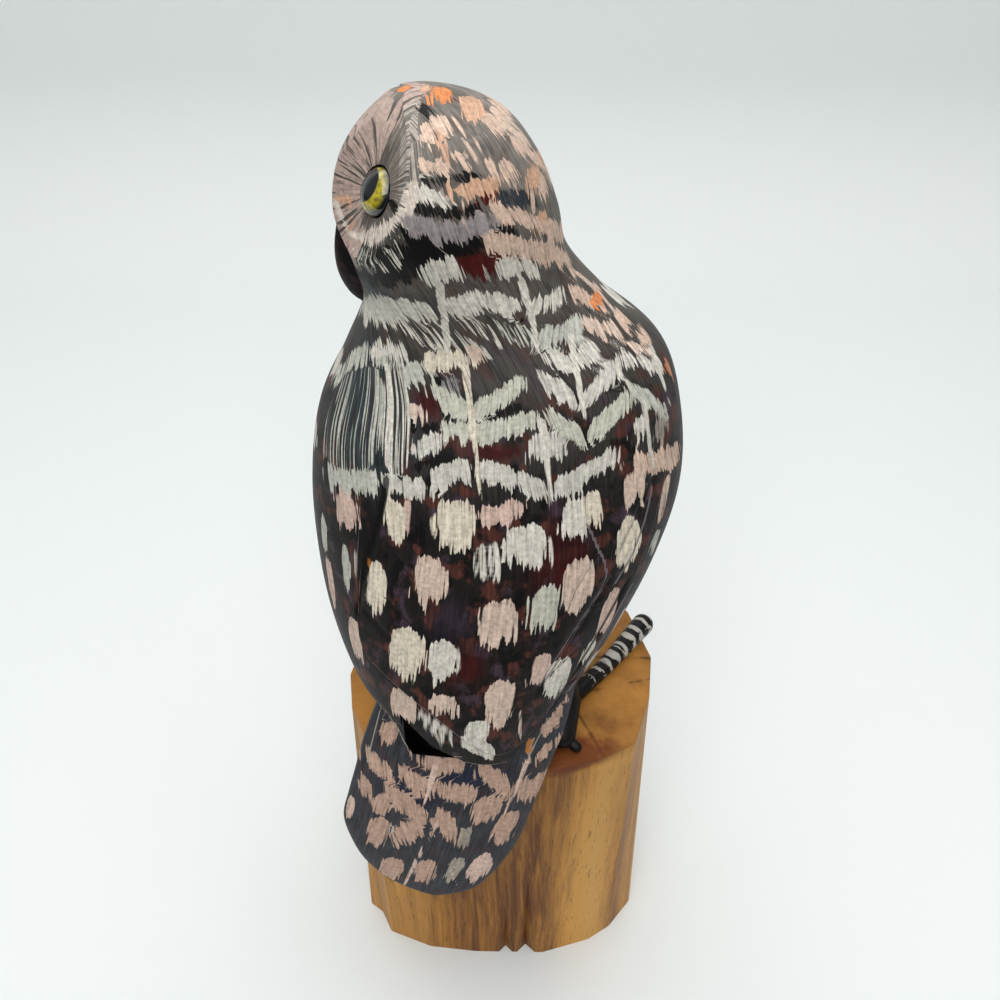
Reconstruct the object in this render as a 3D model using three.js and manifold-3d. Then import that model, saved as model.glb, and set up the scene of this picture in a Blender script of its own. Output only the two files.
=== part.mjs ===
// A carved and painted wooden owl on a plain log stump, about 200 mm tall.
// Millimetres, +Z up. The origin is the centre of the stump's underside.
// The owl's back faces +Y. Its head is turned over its left shoulder, so the face looks along +X.

import * as THREE from 'three';
import { mergeVertices } from 'three/addons/utils/BufferGeometryUtils.js';
import Module from 'manifold-3d';

const wasm = await Module();
wasm.setup();

// Driving dimensions
const STUMP_HEIGHT = 80;
const CROWN_HEIGHT = 199.7;
const CROWN_REACH = 13.2;
const GAP = 0.3;
const BODY_FLOOR = STUMP_HEIGHT + GAP;
const EYE_DIAMETER = 7.4;
const EYE_BULGE = 2.3;
const EYE_DEPTH = 2.4;
const EYE_BACK_SHARE = 0.8;
const TOE_DIAMETER = 3.6;
const TOE_END_DIAMETER = 4.8;
const LEG_DIAMETER = 7.2;
const REAR_TOE_RADIUS = 2.7;
const ANKLE_RADIUS = 3;
const TOE_ARCH = 0.3;
const CLAW_RADIUS = 1.1;

// How finely each form is faceted
const BODY_COLUMNS = 60;
const WING_ROWS = 8;
const BACK_ROWS = 23;
const CORE_COLUMNS = 32;
const CORE_ROWS = 18;
const TAIL_COLUMNS = 28;
const TAIL_ROWS = 17;
const BEAK_COLUMNS = 12;
const BEAK_ROWS = 8;
const TOE_SIDES = 8;
const TOE_END_ROWS = 2;
const EYE_SIDES = 18;
const STUMP_CUTS = 2;
const STUMP_ROWS = 8;

// Horizontal slices of the head, back and folded wings, lowest first.
// left and right reach along +X and -X, back and front along +Y and -Y.
// square is 2 for an ellipse and more for a boxier slice.
const MANTLE = [
  { z: 80, left: 23, right: -12, back: 36.5, front: -19, square: 2.1 },
  { z: 88, left: 26.5, right: -15.5, back: 38, front: -21, square: 2.1 },
  { z: 97, left: 31, right: -19.5, back: 37.8, front: -23, square: 2.1 },
  { z: 108, left: 34, right: -25.5, back: 36, front: -25, square: 2.15 },
  { z: 120, left: 35.2, right: -30.5, back: 33.5, front: -26.5, square: 2.2 },
  { z: 133, left: 35, right: -33.6, back: 30.5, front: -27, square: 2.2 },
  { z: 146, left: 32.5, right: -32.5, back: 26.8, front: -25, square: 2.2 },
  { z: 157, left: 27, right: -28.5, back: 22, front: -21.5, square: 2.1 },
  { z: 166, left: 23.2, right: -18, back: 18, front: -18.5, square: 2 },
  { z: 174, left: 24.4, right: -11.3, back: 18, front: -18, square: 2 },
  { z: 182, left: 26.5, right: -9.2, back: 18.8, front: -18.3, square: 2 },
  { z: 190, left: 24.8, right: -5.8, back: 17, front: -16.8, square: 2 },
  { z: 196.4, left: 19.7, right: 0.4, back: 11.8, front: -12, square: 2 },
  { z: CROWN_HEIGHT, left: CROWN_REACH, right: CROWN_REACH, back: 0, front: 0, square: 2 },
];

// The top of the hollow under the mantle, deep inside the core
const MANTLE_HOLLOW = new THREE.Vector3(3, 4, 125);

// Slices of the breast, belly and flanks, which lie inside the folded wings
const CORE = [
  { z: BODY_FLOOR, left: 14, right: -11, back: 23, front: -14, square: 2.1 },
  { z: 86, left: 18, right: -13, back: 27, front: -18.5, square: 2.1 },
  { z: 96, left: 25, right: -18.5, back: 31, front: -22.5, square: 2.1 },
  { z: 108, left: 29.5, right: -25, back: 30.5, front: -25.5, square: 2.1 },
  { z: 121, left: 31.5, right: -29.5, back: 28.5, front: -27.5, square: 2.1 },
  { z: 135, left: 31.5, right: -30.5, back: 26, front: -27.5, square: 2.1 },
  { z: 148, left: 28.5, right: -27.5, back: 22, front: -24.5, square: 2.1 },
  { z: 160, left: 22, right: -19, back: 16, front: -19, square: 2 },
  { z: 172, left: 15, right: -6, back: 8, front: -10, square: 2 },
];

const CORE_FLOOR_CENTRE = new THREE.Vector3(1, 4, BODY_FLOOR);
const CORE_TOP_CENTRE = new THREE.Vector3(5, 0, CORE[CORE.length - 1].z);

// Height of the wings' lower edge at each bearing, in degrees from the back towards the owl's left
const WING_EDGE = [
  { bearing: -180, z: 160 },
  { bearing: -140, z: 157 },
  { bearing: -118, z: 143 },
  { bearing: -100, z: 127 },
  { bearing: -84, z: 115.2 },
  { bearing: -72, z: 106 },
  { bearing: -60, z: 99.2 },
  { bearing: -47, z: 95 },
  { bearing: -34, z: 92.3 },
  { bearing: -27, z: 89.4 },
  { bearing: -21, z: 86.8 },
  { bearing: -10, z: 86.5 },
  { bearing: 2, z: 88.2 },
  { bearing: 14, z: 90.6 },
  { bearing: 26, z: 93.6 },
  { bearing: 41, z: 95.6 },
  { bearing: 62, z: 99.6 },
  { bearing: 74, z: 107 },
  { bearing: 90, z: 116 },
  { bearing: 105, z: 127 },
  { bearing: 120, z: 143 },
  { bearing: 140, z: 157 },
  { bearing: 180, z: 160 },
];
const WING_EDGE_THICKNESS = 2.2;

// Lower edge of the upper layer of back feathers, which lies over both wings
const LAYER_EDGE = [
  { bearing: -180, z: 168 },
  { bearing: -140, z: 166 },
  { bearing: -110, z: 162 },
  { bearing: -84, z: 156 },
  { bearing: -68, z: 147 },
  { bearing: -58, z: 136 },
  { bearing: -50, z: 123 },
  { bearing: -44, z: 113 },
  { bearing: -36, z: 104 },
  { bearing: -28, z: 96.6 },
  { bearing: -18, z: 91.6 },
  { bearing: -9, z: 90.6 },
  { bearing: -2, z: 93.7 },
  { bearing: 10, z: 99.4 },
  { bearing: 20, z: 103 },
  { bearing: 32, z: 106.4 },
  { bearing: 39, z: 108.4 },
  { bearing: 43, z: 112 },
  { bearing: 45, z: 123 },
  { bearing: 47.5, z: 138 },
  { bearing: 54, z: 150 },
  { bearing: 68, z: 157 },
  { bearing: 100, z: 162 },
  { bearing: 140, z: 166 },
  { bearing: 180, z: 168 },
];
const LAYER_STEP = 0.9;
const LAYER_RAMP = 1.6;
const LAYER_FADE_START = 122;
const LAYER_FADE_END = 146;
const LAYER_SEAMS = [43.6, 44.8, 46];

// A pocket undercut between the left wing's edge and the tail: its corners as seen from behind
const POCKET = [
  new THREE.Vector3(18.6, 33.4, 97.4),
  new THREE.Vector3(18.2, 33.6, 88.6),
  new THREE.Vector3(16.8, 34.2, 86.2),
  new THREE.Vector3(6.4, 37, 88),
  new THREE.Vector3(12.6, 36.2, 91.4),
];
const POCKET_DEPTH = 4.5;
const POCKET_TILT = new THREE.Vector3(0, 0.786, 0.618);

// The head's turn and the shallow round dish that holds each eye
const FACE_BEARING = 82;
const HEAD_AXIS = new THREE.Vector3(8, 0, 0);
const DISC = { bearing: 35, z: 188.5, halfWidth: 33, halfHeight: 11, rise: 0.12, depth: 4, power: 0.8 };
const EYE_PLACE = new THREE.Vector3(18, 9.8, 187.4);
const EYE_AIM = new THREE.Vector3(0.74, 0.46, 0.49).normalize();

// The beak hangs down the middle of the face: height, reach forward of the head's axis, half width
const BEAK = [
  { z: 184, reach: 16.4, halfWidth: 0.7 },
  { z: 179.5, reach: 18.2, halfWidth: 1.8 },
  { z: 175, reach: 19, halfWidth: 2.7 },
  { z: 171, reach: 18.7, halfWidth: 2.6 },
  { z: 167.6, reach: 17.2, halfWidth: 1.8 },
  { z: 165.6, reach: 15.2, halfWidth: 0.8 },
];
const BEAK_ROOT = 10;
const BEAK_END = { back: 2.8, beyond: 0.5 };

// Slices of the tail, which hangs behind the stump: outer is the reach of its middle along +Y
const TAIL = [
  { z: 102, left: 20, right: -14.5, outer: 31, thickness: 9 },
  { z: 92, left: 24, right: -13.8, outer: 34, thickness: 7.4 },
  { z: 84, left: 27, right: -11.5, outer: 36.3, thickness: 6.2 },
  { z: 76, left: 29.3, right: -8.6, outer: 38.2, thickness: 5.6 },
  { z: 70, left: 31, right: -6.2, outer: 39.3, thickness: 5.2 },
  { z: 64, left: 32.4, right: -4, outer: 40.2, thickness: 5 },
  { z: 58.6, left: 31.2, right: -1.4, outer: 40.9, thickness: 4.9 },
  { z: 53.6, left: 28.6, right: 1.8, outer: 41.3, thickness: 4.4 },
  { z: 49.8, left: 23.4, right: 5.8, outer: 41.5, thickness: 3.8 },
  { z: 48, left: 14, right: 14, outer: 41.4, thickness: 2.2 },
];
const TAIL_ROOT = new THREE.Vector3(3, 26, TAIL[0].z);
const TAIL_TIP_CROWDING = 1.5;
const TAIL_SIDE_POWER = 0.8;
const TAIL_FACE_POWER = 0.7;
const TAIL_CAMBER = 2.6;
const TAIL_HALF_WIDTH = 18;
const TAIL_TURN = 0.14;
const TAIL_CENTRE = 11.5;

// Corners of the stump, split from a log: plan position at the top and at the foot
const STUMP_CORNERS = [
  { top: [32.4, 8], foot: [34, 8] },
  { top: [31, 17.2], foot: [33.4, 15.2] },
  { top: [29.8, 19.6], foot: [30.2, 17.6] },
  { top: [27.3, 25.3], foot: [27.6, 22.8] },
  { top: [19, 28.4], foot: [17.4, 26.8] },
  { top: [9, 29.6], foot: [6, 28.1] },
  { top: [-10, 33.3], foot: [-10.5, 28.4] },
  { top: [-19.5, 30.6], foot: [-22.2, 25] },
  { top: [-27.2, 26.8], foot: [-27.8, 21.4] },
  { top: [-31.6, 14.5], foot: [-33.6, 14.5] },
  { top: [-33.3, 3], foot: [-34.6, 3] },
  { top: [-29.6, -11], foot: [-30.6, -11.5] },
  { top: [-19, -25.5], foot: [-19.5, -25.5] },
  { top: [-2, -32], foot: [-2, -31.5] },
  { top: [16, -28], foot: [16, -27.5] },
  { top: [28.4, -13], foot: [28.8, -13] },
];
// Grooves up the rear wall, which stands this far back at the foot and leans out over a groove's height
const STUMP_REAR_WALL = 28.4;
const STUMP_REAR_LEAN = 2.2;
const GROOVE_OVERRUN = 8;
const GROOVES = [
  { x: -1.4, depth: 1.9, halfWidth: 1.9, height: 36 },
  { x: -6.4, depth: 2.3, halfWidth: 2.4, height: 40 },
];

// Feet: the ankle, and each toe's middle and tip, for the owl's right foot
const TOE_FLOOR = STUMP_HEIGHT + GAP;
const ANKLE = new THREE.Vector3(-13.6, 19, 83.4);
const LEG_TOP = new THREE.Vector3(-11.5, 15.5, 92);
const OUTER_TOE = new THREE.Vector3(-31.9, -4, TOE_FLOOR + TOE_END_DIAMETER / 2);
const FRONT_TOE = new THREE.Vector3(-16.5, -12.5, TOE_FLOOR + TOE_END_DIAMETER / 2);
const REAR_TOE = new THREE.Vector3(-12.4, 27, TOE_FLOOR + REAR_TOE_RADIUS);
const REAR_CLAW = new THREE.Vector3(-15.2, 28.8, TOE_FLOOR + CLAW_RADIUS);
const OUTER_TOE_MIDDLE = new THREE.Vector3(-22.6, 8.2, TOE_FLOOR + TOE_DIAMETER / 2 + TOE_ARCH);
const FRONT_TOE_MIDDLE = new THREE.Vector3(-15.5, 3, TOE_FLOOR + TOE_DIAMETER / 2 + TOE_ARCH);
const FEET_MIDDLE = 0.6;

// A smooth curve through equally spaced values, clamped at its ends
function smoothValue(values, position) {
  const last = values.length - 1;
  const index = Math.min(Math.max(Math.floor(position), 0), last - 1);
  const t = position - index;
  const at = (k) => values[Math.min(Math.max(k, 0), last)];
  const [a, b, c, d] = [at(index - 1), at(index), at(index + 1), at(index + 2)];
  const square = (2 * a - 5 * b + 4 * c - d) * t ** 2;
  const cube = (3 * b - a - 3 * c + d) * t ** 3;
  return 0.5 * (2 * b + (c - a) * t + square + cube);
}

// The slice of a stack of sections at a position counted in sections.
// Past a closed end the slice mirrors, so that the end is a smooth dome.
function sliceAt(sections, position, domed) {
  const last = sections[sections.length - 1];
  const before = sections[sections.length - 2];
  const mirrored = { left: before.right, right: before.left, back: before.front, front: before.back };
  const ghost = { ...before, ...mirrored };
  const stack = domed ? [...sections, ghost] : sections;
  const slice = {};
  for (const key of Object.keys(last)) {
    slice[key] = smoothValue(stack.map((section) => section[key]), position);
  }
  return slice;
}

// The position, counted in sections, at which a rising stack reaches a height
function positionAtHeight(sections, height) {
  let low = 0;
  let high = sections.length - 1;
  for (let step = 0; step < 30; step += 1) {
    const middle = (low + high) / 2;
    if (sliceAt(sections, middle, true).z < height) low = middle;
    else high = middle;
  }
  return low;
}

// A point on a slice's outline, moved outwards by a distance. The bearing is in radians from +Y to +X.
function outlinePoint(slice, bearing, outwards = 0) {
  const halfX = (slice.left - slice.right) / 2;
  const halfY = (slice.back - slice.front) / 2;
  const sin = Math.sin(bearing);
  const cos = Math.cos(bearing);
  const across = Math.abs(sin / Math.max(halfX, 1e-3)) ** slice.square;
  const along = Math.abs(cos / Math.max(halfY, 1e-3)) ** slice.square;
  const radius = (across + along) ** (-1 / slice.square) + outwards;
  const centreX = (slice.left + slice.right) / 2;
  const centreY = (slice.back + slice.front) / 2;
  return new THREE.Vector3(centreX + radius * sin, centreY + radius * cos, slice.z);
}

// A closed solid from a stack of rings with a point at each end, rings counted anticlockwise from above.
// Each four-sided cell is split along its shorter diagonal.
function ringSolid(rings, lowPoint, highPoint) {
  const count = rings[0].length;
  const points = [...rings.flat(), lowPoint, highPoint];
  const low = points.length - 2;
  const high = points.length - 1;
  const top = (rings.length - 1) * count;
  const index = [];
  for (let column = 0; column < count; column += 1) {
    const next = (column + 1) % count;
    index.push(low, next, column);
    index.push(high, top + column, top + next);
    for (let row = 0; row < rings.length - 1; row += 1) {
      const a = row * count + column;
      const b = row * count + next;
      const [c, d] = [b + count, a + count];
      if (points[a].distanceTo(points[c]) <= points[b].distanceTo(points[d])) {
        index.push(a, b, c, a, c, d);
      } else {
        index.push(a, b, d, b, c, d);
      }
    }
  }
  const values = points.flatMap((point) => point.toArray());
  const geometry = new THREE.BufferGeometry();
  geometry.setAttribute('position', new THREE.Float32BufferAttribute(values, 3));
  geometry.setIndex(index);
  return geometry;
}

// Conversions to and from the solids that the cuts and joins work on
function toSolid(geometry) {
  const bare = geometry.clone();
  bare.deleteAttribute('normal');
  bare.deleteAttribute('uv');
  const merged = mergeVertices(bare, 1e-4);
  return new wasm.Manifold(new wasm.Mesh({
    numProp: 3,
    vertProperties: new Float32Array(merged.attributes.position.array),
    triVerts: new Uint32Array(merged.index.array),
  }));
}

function toGeometry(solid) {
  const mesh = solid.getMesh();
  const geometry = new THREE.BufferGeometry();
  geometry.setAttribute('position', new THREE.Float32BufferAttribute(mesh.vertProperties, 3));
  geometry.setIndex(new THREE.Uint32BufferAttribute(mesh.triVerts, 1));
  return geometry;
}

// Bearings of a ring's points, anticlockwise from above
function ringBearings(count) {
  return Array.from({ length: count }, (_, column) => Math.PI - (column * 2 * Math.PI) / count);
}

// The body's bearings crowd together at the steep part of the feather layer's edge
function bodyBearings() {
  const even = ringBearings(BODY_COLUMNS);
  const steep = LAYER_SEAMS.map((degrees) => THREE.MathUtils.degToRad(degrees));
  return [...even, ...steep].sort((a, b) => b - a);
}

function degreesFromBack(bearing) {
  const degrees = THREE.MathUtils.radToDeg(bearing);
  return ((degrees + 540) % 360) - 180;
}

// Height of an edge that is marked at rising bearings, at a bearing in degrees
function edgeHeight(marks, degrees) {
  const upper = marks.findIndex((mark) => mark.bearing > degrees);
  const b = upper === -1 ? marks.length - 1 : Math.max(upper, 1);
  const a = b - 1;
  const share = (degrees - marks[a].bearing) / (marks[b].bearing - marks[a].bearing);
  return smoothValue(marks.map((mark) => mark.z), a + THREE.MathUtils.clamp(share, 0, 1));
}

// How far the upper layer of back feathers stands out: fully above its edge, fading over the shoulders
function layerHeight(z) {
  return LAYER_STEP * (1 - THREE.MathUtils.smoothstep(z, LAYER_FADE_START, LAYER_FADE_END));
}

// How far the surface is carved in at the two round dishes of the face
function discDepth(degrees, z) {
  const turned = Math.abs(((degrees - FACE_BEARING + 540) % 360) - 180);
  const across = (turned - DISC.bearing) / DISC.halfWidth;
  const up = (z - DISC.z - DISC.rise * (turned - DISC.bearing)) / DISC.halfHeight;
  const inside = 1 - across * across - up * up;
  return inside > 0 ? DISC.depth * inside ** DISC.power : 0;
}

// One upright line of points on the head, back or a wing, from the wing's edge up to the crown
function mantleColumn(bearing) {
  const degrees = degreesFromBack(bearing);
  const top = MANTLE.length - 1;
  const layerEdge = edgeHeight(LAYER_EDGE, degrees);
  const start = positionAtHeight(MANTLE, edgeHeight(WING_EDGE, degrees));
  const seam = positionAtHeight(MANTLE, layerEdge);
  const raised = positionAtHeight(MANTLE, layerEdge + LAYER_RAMP);
  const point = (position, relief) => {
    const slice = sliceAt(MANTLE, position, true);
    return outlinePoint(slice, bearing, relief * layerHeight(slice.z) - discDepth(degrees, slice.z));
  };
  const points = [outlinePoint(sliceAt(MANTLE, start, true), bearing, -WING_EDGE_THICKNESS)];
  for (let row = 0; row <= WING_ROWS; row += 1) {
    points.push(point(THREE.MathUtils.lerp(start, seam, row / WING_ROWS), 0));
  }
  for (let row = 0; row < BACK_ROWS; row += 1) {
    points.push(point(THREE.MathUtils.lerp(raised, top, row / BACK_ROWS), 1));
  }
  return points;
}

// The head, back and folded wings, closed below by an edge and a hollow that the core fills
function mantleSolid() {
  const columns = bodyBearings().map((bearing) => mantleColumn(bearing));
  const rings = columns[0].map((_, row) => columns.map((column) => column[row]));
  const crown = new THREE.Vector3(CROWN_REACH, 0, CROWN_HEIGHT);
  return toSolid(ringSolid(rings, MANTLE_HOLLOW, crown));
}

// Breast, belly and flanks
function coreSolid() {
  const bearings = ringBearings(CORE_COLUMNS);
  const rings = [];
  for (let row = 0; row <= CORE_ROWS; row += 1) {
    const slice = sliceAt(CORE, ((CORE.length - 1) * row) / CORE_ROWS, false);
    rings.push(bearings.map((bearing) => outlinePoint(slice, bearing)));
  }
  return toSolid(ringSolid(rings, CORE_FLOOR_CENTRE, CORE_TOP_CENTRE));
}

// A power of a sine or cosine that keeps its sign; below 1 it fills a round outline out towards a square
function signedPower(value, power) {
  return Math.sign(value) * Math.abs(value) ** power;
}

// The tail, a cambered board that widens and ends in a round tip
function tailSolid() {
  const rings = [];
  for (let row = 0; row < TAIL_ROWS; row += 1) {
    const fromTip = (1 - row / TAIL_ROWS) ** TAIL_TIP_CROWDING;
    const slice = sliceAt(TAIL, (TAIL.length - 1) * (1 - fromTip), true);
    const centre = (slice.left + slice.right) / 2;
    const half = (slice.left - slice.right) / 2;
    const ring = Array.from({ length: TAIL_COLUMNS }, (_, column) => {
      const angle = (column * 2 * Math.PI) / TAIL_COLUMNS;
      const x = centre + half * signedPower(Math.cos(angle), TAIL_SIDE_POWER);
      const spread = signedPower(Math.sin(angle), TAIL_FACE_POWER);
      const camber = TAIL_CAMBER * ((x - centre) / TAIL_HALF_WIDTH) ** 2;
      const middle = slice.outer - slice.thickness / 2 - camber;
      const turn = TAIL_TURN * (x - TAIL_CENTRE);
      return new THREE.Vector3(x, middle - turn + (slice.thickness / 2) * spread, slice.z);
    });
    rings.push(ring);
  }
  rings.reverse();
  const tip = TAIL[TAIL.length - 1];
  const low = new THREE.Vector3(tip.left, tip.outer - tip.thickness / 2, tip.z);
  return toSolid(ringSolid(rings, low, TAIL_ROOT));
}

// The pocket's cutter, a prism that runs in from behind and above
function pocketSolid() {
  const outward = POCKET_TILT.clone().normalize();
  const corners = (reach) => POCKET.map((corner) => corner.clone().addScaledVector(outward, reach));
  const rings = [corners(-POCKET_DEPTH), corners(POCKET_DEPTH)];
  const total = (ring) => ring.reduce((sum, point) => sum.add(point), new THREE.Vector3());
  const middle = (ring) => total(ring).divideScalar(ring.length);
  return toSolid(ringSolid(rings, middle(rings[0]), middle(rings[1])));
}

// The beak, a ridge that hooks down over the throat
function beakSolid() {
  const face = THREE.MathUtils.degToRad(90 - FACE_BEARING);
  const forward = new THREE.Vector3(Math.cos(face), Math.sin(face), 0);
  const side = new THREE.Vector3(-Math.sin(face), Math.cos(face), 0);
  const place = (reach, across, z) => HEAD_AXIS.clone().addScaledVector(forward, reach)
    .addScaledVector(side, across).setZ(z);
  const rings = [];
  for (let row = 0; row <= BEAK_ROWS; row += 1) {
    const slice = sliceAt(BEAK, ((BEAK.length - 1) * row) / BEAK_ROWS, false);
    const middle = (slice.reach + BEAK_ROOT) / 2;
    const half = (slice.reach - BEAK_ROOT) / 2;
    rings.push(Array.from({ length: BEAK_COLUMNS }, (_, column) => {
      const angle = (column * 2 * Math.PI) / BEAK_COLUMNS;
      return place(middle + half * Math.cos(angle), slice.halfWidth * Math.sin(angle), slice.z);
    }));
  }
  rings.reverse();
  const [first, last] = [BEAK[0], BEAK[BEAK.length - 1]];
  const low = place(last.reach - BEAK_END.back, 0, last.z - BEAK_END.beyond);
  const high = place(first.reach - BEAK_END.back, 0, first.z + BEAK_END.beyond);
  return toSolid(ringSolid(rings, low, high));
}

// An eye bead, a dome on a short flat-backed stem, along +Z
function eyeGeometry(grow) {
  const radius = EYE_DIAMETER / 2 + grow;
  const steps = 5;
  const back = -EYE_DEPTH - grow;
  const profile = [new THREE.Vector2(0, back), new THREE.Vector2(radius * EYE_BACK_SHARE, back)];
  for (let step = 0; step <= steps; step += 1) {
    const angle = (step * Math.PI) / 2 / steps;
    const x = step === steps ? 0 : radius * Math.cos(angle);
    profile.push(new THREE.Vector2(x, (EYE_BULGE + grow) * Math.sin(angle)));
  }
  const geometry = new THREE.LatheGeometry(profile, EYE_SIDES);
  geometry.rotateX(Math.PI / 2);
  return geometry;
}

// Where an eye sits: the owl's left eye, or its mirror image across the face's middle plane
function eyeMatrix(isLeft) {
  const place = EYE_PLACE.clone();
  const aim = EYE_AIM.clone();
  if (!isLeft) {
    const face = THREE.MathUtils.degToRad(90 - FACE_BEARING);
    const normal = new THREE.Vector3(-Math.sin(face), Math.cos(face), 0);
    place.sub(HEAD_AXIS).reflect(normal).add(HEAD_AXIS);
    aim.reflect(normal);
  }
  const turn = new THREE.Quaternion().setFromUnitVectors(new THREE.Vector3(0, 0, 1), aim);
  return new THREE.Matrix4().compose(place, turn, new THREE.Vector3(1, 1, 1));
}

// A round bar between two points with a different radius at each end and round ends
function taperedBar(from, to, fromRadius, toRadius) {
  const length = from.distanceTo(to);
  const profile = [new THREE.Vector2(0, -fromRadius)];
  for (let step = 1; step <= TOE_END_ROWS; step += 1) {
    const angle = -Math.PI / 2 + (step * Math.PI) / 2 / TOE_END_ROWS;
    profile.push(new THREE.Vector2(fromRadius * Math.cos(angle), fromRadius * Math.sin(angle)));
  }
  for (let step = 0; step < TOE_END_ROWS; step += 1) {
    const angle = (step * Math.PI) / 2 / TOE_END_ROWS;
    profile.push(new THREE.Vector2(toRadius * Math.cos(angle), length + toRadius * Math.sin(angle)));
  }
  profile.push(new THREE.Vector2(0, length + toRadius));
  const geometry = new THREE.LatheGeometry(profile, TOE_SIDES);
  const turn = new THREE.Quaternion();
  turn.setFromUnitVectors(new THREE.Vector3(0, 1, 0), to.clone().sub(from).normalize());
  geometry.applyQuaternion(turn);
  geometry.translate(from.x, from.y, from.z);
  return geometry;
}

// A foot: two toes forward, one to the rear with its claw, and the ankle they meet at
function footSolid(isRight, grow) {
  const thin = TOE_DIAMETER / 2 + grow;
  const thick = TOE_END_DIAMETER / 2 + grow;
  const bars = [
    taperedBar(ANKLE, OUTER_TOE_MIDDLE, thin, thin),
    taperedBar(OUTER_TOE_MIDDLE, OUTER_TOE, thin, thick),
    taperedBar(ANKLE, FRONT_TOE_MIDDLE, thin, thin),
    taperedBar(FRONT_TOE_MIDDLE, FRONT_TOE, thin, thick),
    taperedBar(ANKLE, REAR_TOE, ANKLE_RADIUS + grow, REAR_TOE_RADIUS + grow),
    taperedBar(REAR_TOE, REAR_CLAW, CLAW_RADIUS + grow, CLAW_RADIUS + grow),
    taperedBar(ANKLE, LEG_TOP, ANKLE_RADIUS + grow, LEG_DIAMETER / 2 + grow),
  ];
  let solid = toSolid(bars[0]);
  for (const bar of bars.slice(1)) {
    solid = solid.add(toSolid(bar));
  }
  if (isRight) return solid;
  return solid.mirror([1, 0, 0]).translate([2 * FEET_MIDDLE, 0, 0]);
}

// The stump: flat facets between its corners, with two grooves that rise from its foot
function stumpGeometry() {
  const rings = [];
  for (let row = 0; row <= STUMP_ROWS; row += 1) {
    const share = row / STUMP_ROWS;
    const z = STUMP_HEIGHT * share;
    const ring = [];
    STUMP_CORNERS.forEach((corner, index) => {
      const next = STUMP_CORNERS[(index + 1) % STUMP_CORNERS.length];
      for (let cut = 0; cut < STUMP_CUTS; cut += 1) {
        const along = cut / STUMP_CUTS;
        const at = (key, axis) => THREE.MathUtils.lerp(corner[key][axis], next[key][axis], along);
        const x = THREE.MathUtils.lerp(at('foot', 0), at('top', 0), share);
        const y = THREE.MathUtils.lerp(at('foot', 1), at('top', 1), share);
        ring.push(new THREE.Vector3(x, y, z));
      }
    });
    rings.push(ring);
  }
  return ringSolid(rings, new THREE.Vector3(0, 0, 0), new THREE.Vector3(0, 0, STUMP_HEIGHT));
}

// A wedge that cuts one groove into the stump's rear wall. It leans out, so it is deepest at the foot.
function grooveSolid(groove) {
  const outer = STUMP_REAR_WALL + GROOVE_OVERRUN;
  const spread = groove.halfWidth * (1 + GROOVE_OVERRUN / groove.depth);
  const shape = new THREE.Shape([
    new THREE.Vector2(0, STUMP_REAR_WALL - groove.depth),
    new THREE.Vector2(spread, outer),
    new THREE.Vector2(-spread, outer),
  ]);
  const below = 1;
  const length = groove.height + 2 * below;
  const geometry = new THREE.ExtrudeGeometry(shape, { depth: length, bevelEnabled: false });
  const lean = new THREE.Matrix4();
  lean.elements[9] = (groove.depth + STUMP_REAR_LEAN) / groove.height;
  geometry.applyMatrix4(lean);
  geometry.translate(groove.x, 0, -below);
  return toSolid(geometry);
}

function stumpSolid() {
  let solid = toSolid(stumpGeometry());
  for (const groove of GROOVES) {
    solid = solid.subtract(grooveSolid(groove));
  }
  return solid;
}

// The carved block: head, back, wings, breast, beak and tail, with sockets for the eyes and feet
function owlSolid() {
  let solid = mantleSolid().add(coreSolid()).add(tailSolid()).add(beakSolid()).subtract(pocketSolid());
  for (const isLeft of [true, false]) {
    const socket = eyeGeometry(GAP);
    socket.applyMatrix4(eyeMatrix(isLeft));
    solid = solid.subtract(toSolid(socket));
    solid = solid.subtract(footSolid(isLeft, GAP));
  }
  return solid;
}

function addMesh(group, name, geometry, color, roughness) {
  const material = new THREE.MeshStandardMaterial({ color, roughness, metalness: 0 });
  const mesh = new THREE.Mesh(geometry, material);
  mesh.name = name;
  group.add(mesh);
  return mesh;
}

const object = new THREE.Group();
addMesh(object, 'stump', toGeometry(stumpSolid()), 0xa9783f, 0.6);
addMesh(object, 'owl', toGeometry(owlSolid()), 0x3a3233, 0.45);
for (const [name, isLeft] of [['left_eye', true], ['right_eye', false]]) {
  const eye = addMesh(object, name, mergeVertices(eyeGeometry(0)), 0xd8c21a, 0.15);
  eye.applyMatrix4(eyeMatrix(isLeft));
}
addMesh(object, 'right_foot', toGeometry(footSolid(true, 0)), 0x55504e, 0.5);
addMesh(object, 'left_foot', toGeometry(footSolid(false, 0)), 0x55504e, 0.5);

export default object;
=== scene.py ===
import logging
import math
from dataclasses import dataclass
from enum import Enum
from typing import Iterable, Sequence

import bmesh
import bpy
import numpy as np
from mathutils import Matrix, Vector
from mathutils.bvhtree import BVHTree


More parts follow.
